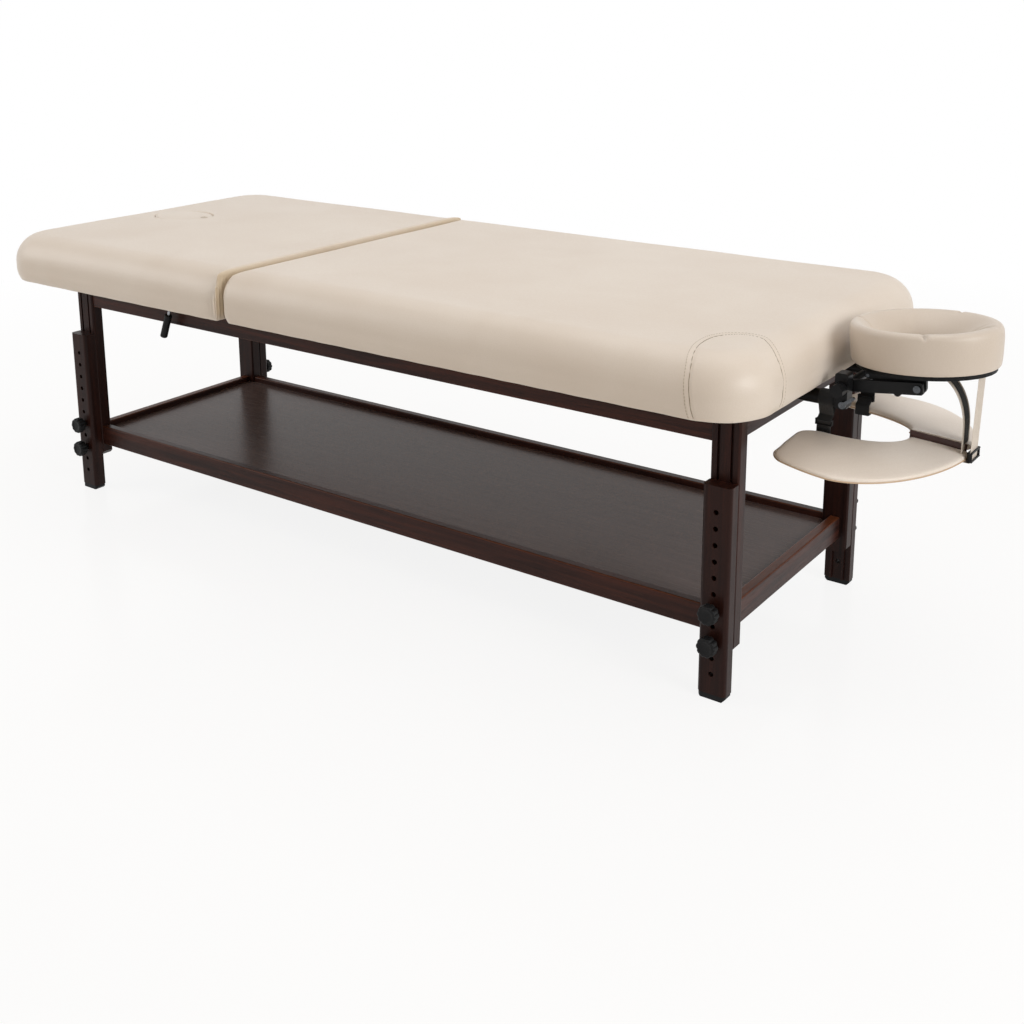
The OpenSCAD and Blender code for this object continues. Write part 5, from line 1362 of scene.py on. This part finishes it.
class MASSAGE_OT_straps(bpy.types.Operator):
    """Side straps, front straps and their buckles"""

    bl_idname = "massage.straps"
    bl_label = "Straps"

    def execute(self, context):
        sizes = setting("armrest")
        webbing = woven_webbing("black_webbing_weave", tint("webbing"))
        pale = woven_webbing("cream_webbing_weave", tint("cover"), 1.0)
        self.side_straps(sizes, webbing)
        self.front_straps(sizes, pale, webbing)
        self.buckles(sizes, moulded_nylon("buckle_nylon", 0.12))
        return {"FINISHED"}

    def half_top(self, x, y, side, sizes):
        """Height of an armrest half's top at a place of the plan."""
        droop, rise = side_shape(side, sizes)
        return (armrest_top(sizes) + rise - (x - FOLD_LINE[0]) * math.tan(sizes.slope)
                - abs(y) * math.tan(droop) / math.cos(sizes.slope))

    def side_run(self, side, sizes):
        """Line of a doubled side strap, from its loop's neck down to the inner edge of its half,
        and its lean along the table: millimetres of X for each of height."""
        low, high = box_mm("side_straps")
        x_top = high[0] - sizes.webbing / 2
        x_foot = low[0] + sizes.webbing / 2 if side < 0 else x_top - 3
        over = self.half_top(x_foot - 12, INNER_EDGE, side, sizes) + 2
        foot = self.half_top(x_foot, INNER_EDGE, side, sizes) - sizes.thickness - 3.6
        lean = (x_top - x_foot) / (sizes.prong_z - LEAN_DROP - over)
        start = np.array([x_top - (RUN_DROP - LEAN_DROP) * lean,
                          side * (sizes.prong_y + LOOP_NECK[0]), sizes.prong_z - RUN_DROP])
        bend = np.array([x_foot, side * INNER_EDGE, over])
        return np.array([start, (start + bend) / 2, bend, [x_foot, side * INNER_EDGE, foot]]), lean

    def side_straps(self, sizes, material):
        """Each strap loops round its prong, runs down doubled to the inner edge of its half and
        hooks under it."""
        neck = np.array(LOOP_NECK)
        loop_r = sizes.prong_r + 1.3
        aim = math.atan2(neck[1], neck[0])
        half_turn = math.acos(loop_r / math.hypot(*neck))
        turn = np.linspace(aim + half_turn, aim + 2 * np.pi - half_turn, 40)
        ring = loop_r * np.stack([np.cos(turn), np.sin(turn)], -1)
        path = np.concatenate([[neck + [0.9, -14], neck + [0.9, -2]], ring,
                               [neck + [-0.9, -2], neck + [-0.9, -14]]])
        for side, name in ((-1, "near"), (1, "far")):
            run, lean = self.side_run(side, sizes)
            x = run[0, 0] + lean * (RUN_DROP - LEAN_DROP + np.minimum(0, path[:, 1] + LEAN_DROP))
            loop = np.stack([x, side * (sizes.prong_y + path[:, 0]),
                             sizes.prong_z + path[:, 1]], -1)
            tail = np.array([run[-1], run[-1] + [0, side * 14.0, 0]])
            made = [ribbon(even(line, step), (1, 0, 0), sizes.webbing, plies * sizes.strap)
                    for line, step, plies in ((loop, 2.0, 1), (run, 3.0, 2), (tail, 3.0, 1))]
            strap = joined("side_strap_" + name, [rows for rows, _ in made], material, weld=False,
                           sharp=50, uv=np.concatenate([uv.reshape(-1, 2) for _, uv in made]))
            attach(strap, "cradle")
            if side < 0:
                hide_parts("side_straps")

    def front_straps(self, sizes, pale, webbing):
        """Straight strap from the plate to the armrest's outer end, and the curved one, over which
        a black ply is laid as painted shade beneath the plate: x = x0 + a sin t, z = z0 + b cos t,
        then straight down, with a tab that holds the near half."""
        low, high = box_mm("front_strap")
        x_top, x_foot = high[0] - sizes.strap / 2, high[0] - STRAP_LEAN - sizes.strap / 2
        foot = low[2] + 0.8
        run = np.array([[x_top, 0, high[2] - 0.4], [x_top - 0.4, 0, high[2] - 6],
                        [x_foot, 0, low[2] + 6], [x_foot, 0, foot]])
        tail = np.array([[x_foot - 0.8, 0, foot], [x_foot - 14, 0, foot]])
        arc_x, arc_foot = high[0] - ARC_REACH, high[0] - ARC_FOOT
        t = np.linspace(0, np.pi / 2, 30)
        start_z = high[2] - SEWN_EDGE - ARC_REACH * math.tan(setting("cradle").tilt)
        arc = np.stack([arc_x + (arc_foot - arc_x) * np.sin(t), 0 * t,
                        ARC_SIDE_Z + (start_z - ARC_SIDE_Z) * np.cos(t)], -1)
        arc = np.concatenate([arc, [[arc_foot, 0, self.half_top(arc_foot, 0, 1, sizes) + 0.6]]])
        plate_run = np.array([[x_top - 1, 0, high[2] - 1.0], [arc_x, 0, start_z + 4.4]])
        fold = np.array([[arc_x, 0, start_z + 4.4], [arc_x - 0.8, 0, start_z + 2.2],
                         [arc_x, 0, start_z]])
        wide = sizes.front_webbing
        tab = np.array([[arc_foot - 0.9, -wide / 4, arc[-1, 2] + 3],
                        [arc_foot - 0.9, -wide / 4, self.half_top(arc_foot, 0, -1, sizes) + 0.4]])
        lining = [(plate_run, wide), (fold, wide), (arc - [0.7, 0, 0], wide), (tab, wide / 2 - 2)]
        pieces = [("front_strap_web", [(run, wide), (tail, wide)], pale, sizes.strap, 0.43),
                  ("front_strap_lining", lining, pale, 1.4, 0.47),
                  # Painted shade: the black ply on the curved strap stands for its shade beneath
                  # the plate.
                  ("front_strap_arc", [(arc + [0.45, 0, 0.25], wide - 16)], webbing, 0.8, 0.5)]
        for name, runs, material, thick, keep in pieces:
            made = [ribbon(even(line, 2.5), (0, 1, 0), width, thick) for line, width in runs]
            strap = joined(name, [rows for rows, _ in made], material, weld=False, sharp=50,
                           uv=np.concatenate([uv.reshape(-1, 2) for _, uv in made]))
            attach(strap, "cradle")
            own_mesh(strap)
            if name == "front_strap_web":
                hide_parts("front_strap")

    def buckles(self, sizes, material):
        """Ladder locks: a rounded frame |cos a|^0.3 by |sin a|^0.3 with cross bars and side posts,
        made of tubes."""
        low, high = box_mm("front_strap")
        spots = [("front", np.array([high[0] - STRAP_LEAN - sizes.strap / 2, 0, low[2] + 11]),
                  (0.0, 1.0, 0.0), 15.0, sizes.front_webbing, 1.0)]
        for side, name in ((-1, "near"), (1, "far")):
            run, _ = self.side_run(side, sizes)
            spots.append((name, run[0] + (run[2] - run[0]) * 0.3, (1.0, 0.0, 0.0), 9.0,
                          sizes.webbing, 0.62))
        turn = np.linspace(0, 2 * np.pi, 49)
        flat, rise = ((np.sign(part) * np.abs(part) ** 0.3)[:, None]
                      for part in (np.cos(turn), np.sin(turn)))
        up = np.array([0, 0, 1.0])
        for name, centre, wide, tall, width, bulk in spots:
            wide = np.array(wide)
            deep = np.cross(wide, up)
            loop = flat * wide * (width / 2 + 1.6 * bulk) + rise * up * tall / 2
            parts = [tube(centre + loop + deep * d, 1.5 * bulk) for d in (-2.6, 2.6)]
            reach = np.linspace(-1, 1, 9)[:, None] * wide * (width / 2 + 1.8)
            for z in (0.4 - tall / 2, tall / 2 - 0.4):
                parts += [tube(centre + reach + deep * d + up * z, 1.7 * bulk) for d in (-3.0, 3.0)]
            post = np.linspace(-1, 1, 7)[:, None] * up * tall / 2
            for k in (-1, 1):
                side = centre + wide * k * (width / 2 + 2.0 * bulk)
                parts.append(tube(side + post, 2.9 * bulk, 10))
            buckle = joined("buckle_" + name, parts, material, weld=False)
            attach(buckle, "cradle")
            if name == "front":
                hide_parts("strap_buckles")
                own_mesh(buckle)


class MASSAGE_OT_knobs(bpy.types.Operator):
    """Fluted knobs that lock the leg sliders"""

    bl_idname = "massage.knobs"
    bl_label = "Knobs"

    def execute(self, context):
        head = self.head(setting("knobs"))
        nylon = moulded_nylon("knob_nylon")
        for side, end, level in product(("front", "back"), ("head", "foot"), ("upper", "lower")):
            name = f"knob_{side}_{end}_{level}"
            low, high = box_mm(name)
            sign, base = (-1, high[1]) if side == "front" else (1, low[1])
            rows = np.stack([(low[0] + high[0]) / 2 + head[..., 0], base + sign * head[..., 2],
                             (low[2] + high[2]) / 2 + head[..., 1]], -1)
            made = grid(name + "_grip", rows, nylon, sharp=55)
            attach(made, name)
            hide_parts(name)
        return {"FINISHED"}

    def head(self, sizes):
        """Lobed head, up its own axis: r = R - d (1 - |cos(n a / 2)|^0.7), its lobes faded in from
        the neck's radius to the rim's, with rounded edges, a dished face and a flared neck."""
        r, n, t, neck = sizes.diameter / 2, sizes.neck_height, sizes.thickness, sizes.neck
        profile = np.array([(0, 0.6), (4.1, 0.6), (4.4, 0), (neck - 0.6, 0), (neck, 0.6),
                            (neck, n * 0.55), (neck + 1.0, n * 0.8), (r - 5, n - 0.2),
                            (r - 2.4, n + 0.2), (r - 0.9, n + 1.0), (r - 0.2, n + 2.4),
                            (r, n + 4.5), (r, n + t - 4.5), (r - 0.2, n + t - 2.6),
                            (r - 0.9, n + t - 1.2),
                            (r - 2.2, n + t - 0.3), (r - 4.0, n + t), (r - 6.2, n + t - 0.3),
                            (r - 7.4, n + t - 1.2), (5.4, n + t - 1.5), (4.6, n + t - 1.5),
                            (0, n + t - 1.5)])
        a = full_turn(120)
        lobes = 1 - np.abs(np.cos(sizes.flutes * a / 2)) ** 0.7
        rim = smooth_step((profile[:, 0] - neck - 1) / (r - neck - 2))
        radius = profile[:, :1] - 2.0 * rim[:, None] * lobes[None]
        return raised(np.stack([radius * np.cos(a), radius * np.sin(a)], -1), profile[:, 1:])


class MASSAGE_OT_grip(bpy.types.Operator):
    """Ribbed grip of the release lever"""

    bl_idname = "massage.grip"
    bl_label = "Lever grip"

    def execute(self, context):
        sizes = setting("grip")
        elbow = np.array([LEVER_PIVOT[0], (GRIP_LOW[1] + GRIP_HIGH[1]) / 2, LEVER_PIVOT[2]])
        # Radius up the grip: rounded ends R - e (1 - sqrt(1 - (1 - d / e)^2)) at the distance d
        # from an end, less ribs (1 + cos) / 2 every 3.2 mm, then the bore round the rod.
        edge, bore_depth = 2.5, 4
        z = np.linspace(0, sizes.length, 90)
        ends = np.minimum(z, sizes.length - z)
        rounding = edge * (1 - np.sqrt(np.clip(1 - (1 - ends / edge).clip(0) ** 2, 0, 1)))
        ribs = 0.35 * (0.5 + 0.5 * np.cos(2 * np.pi * z / 3.2)) * smooth_step((ends - 5) / 3)
        radius = np.concatenate([sizes.radius - rounding - ribs, [3.9, 3.7]])
        z = np.concatenate([z, [sizes.length, sizes.length - bore_depth]])
        a = full_turn(48)
        plan = np.stack([np.outer(radius, np.cos(a)), np.outer(radius, np.sin(a))], -1)
        rows = raised(plan, z[:, None])
        start = rows[:1] * [0.6, 0.6, 1]
        rows = np.concatenate([start * [0, 0, 1], start, rows, rows[-1:] * [0, 0, 1]])
        x, up = turned(rows[..., 0], rows[..., 2] - sizes.drop - edge, sizes.tilt)
        place = np.stack([x, rows[..., 1], up], -1) + elbow
        grip = grid("lever_grip_sleeve", place, moulded_nylon("grip_rubber", 0.05), sharp=60)
        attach(grip, "lever")
        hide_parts("lever_grip")
        return {"FINISHED"}


OPERATORS = (
    MASSAGE_OT_stage, MASSAGE_OT_finishes, MASSAGE_OT_long_cushion, MASSAGE_OT_back_cushion,
    MASSAGE_OT_plug, MASSAGE_OT_cradle_cushion, MASSAGE_OT_armrest, MASSAGE_OT_straps,
    MASSAGE_OT_knobs, MASSAGE_OT_grip,
)


class MASSAGE_PT_panel(bpy.types.Panel):
    """Lists the table's pieces in the 3D view's sidebar"""

    bl_idname = "MASSAGE_PT_panel"
    bl_label = "Massage Table"
    bl_space_type = "VIEW_3D"
    bl_region_type = "UI"
    bl_category = "Massage Table"

    def draw(self, context):
        for group in SETTINGS:
            column = self.layout.box().column()
            column.label(text=group.title())
            values = getattr(context.scene, "massage_" + group)
            for name in values.__annotations__:
                column.prop(values, name)
        for operator in OPERATORS:
            self.layout.operator(operator.bl_idname, text=operator.bl_label)


def register():
    """Adds the classes and the scene's groups of settings."""
    for item in (*SETTINGS.values(), *OPERATORS, MASSAGE_PT_panel):
        bpy.utils.register_class(item)
    for group, kind in SETTINGS.items():
        setattr(bpy.types.Scene, "massage_" + group, PointerProperty(type=kind))


def unregister():
    """Takes them away again."""
    for group in SETTINGS:
        delattr(bpy.types.Scene, "massage_" + group)
    for item in reversed((*SETTINGS.values(), *OPERATORS, MASSAGE_PT_panel)):
        bpy.utils.unregister_class(item)


def main():
    register()
    for operator in OPERATORS:
        family, name = operator.bl_idname.split(".")
        getattr(getattr(bpy.ops, family), name)()


if __name__ == "__main__":
    main()
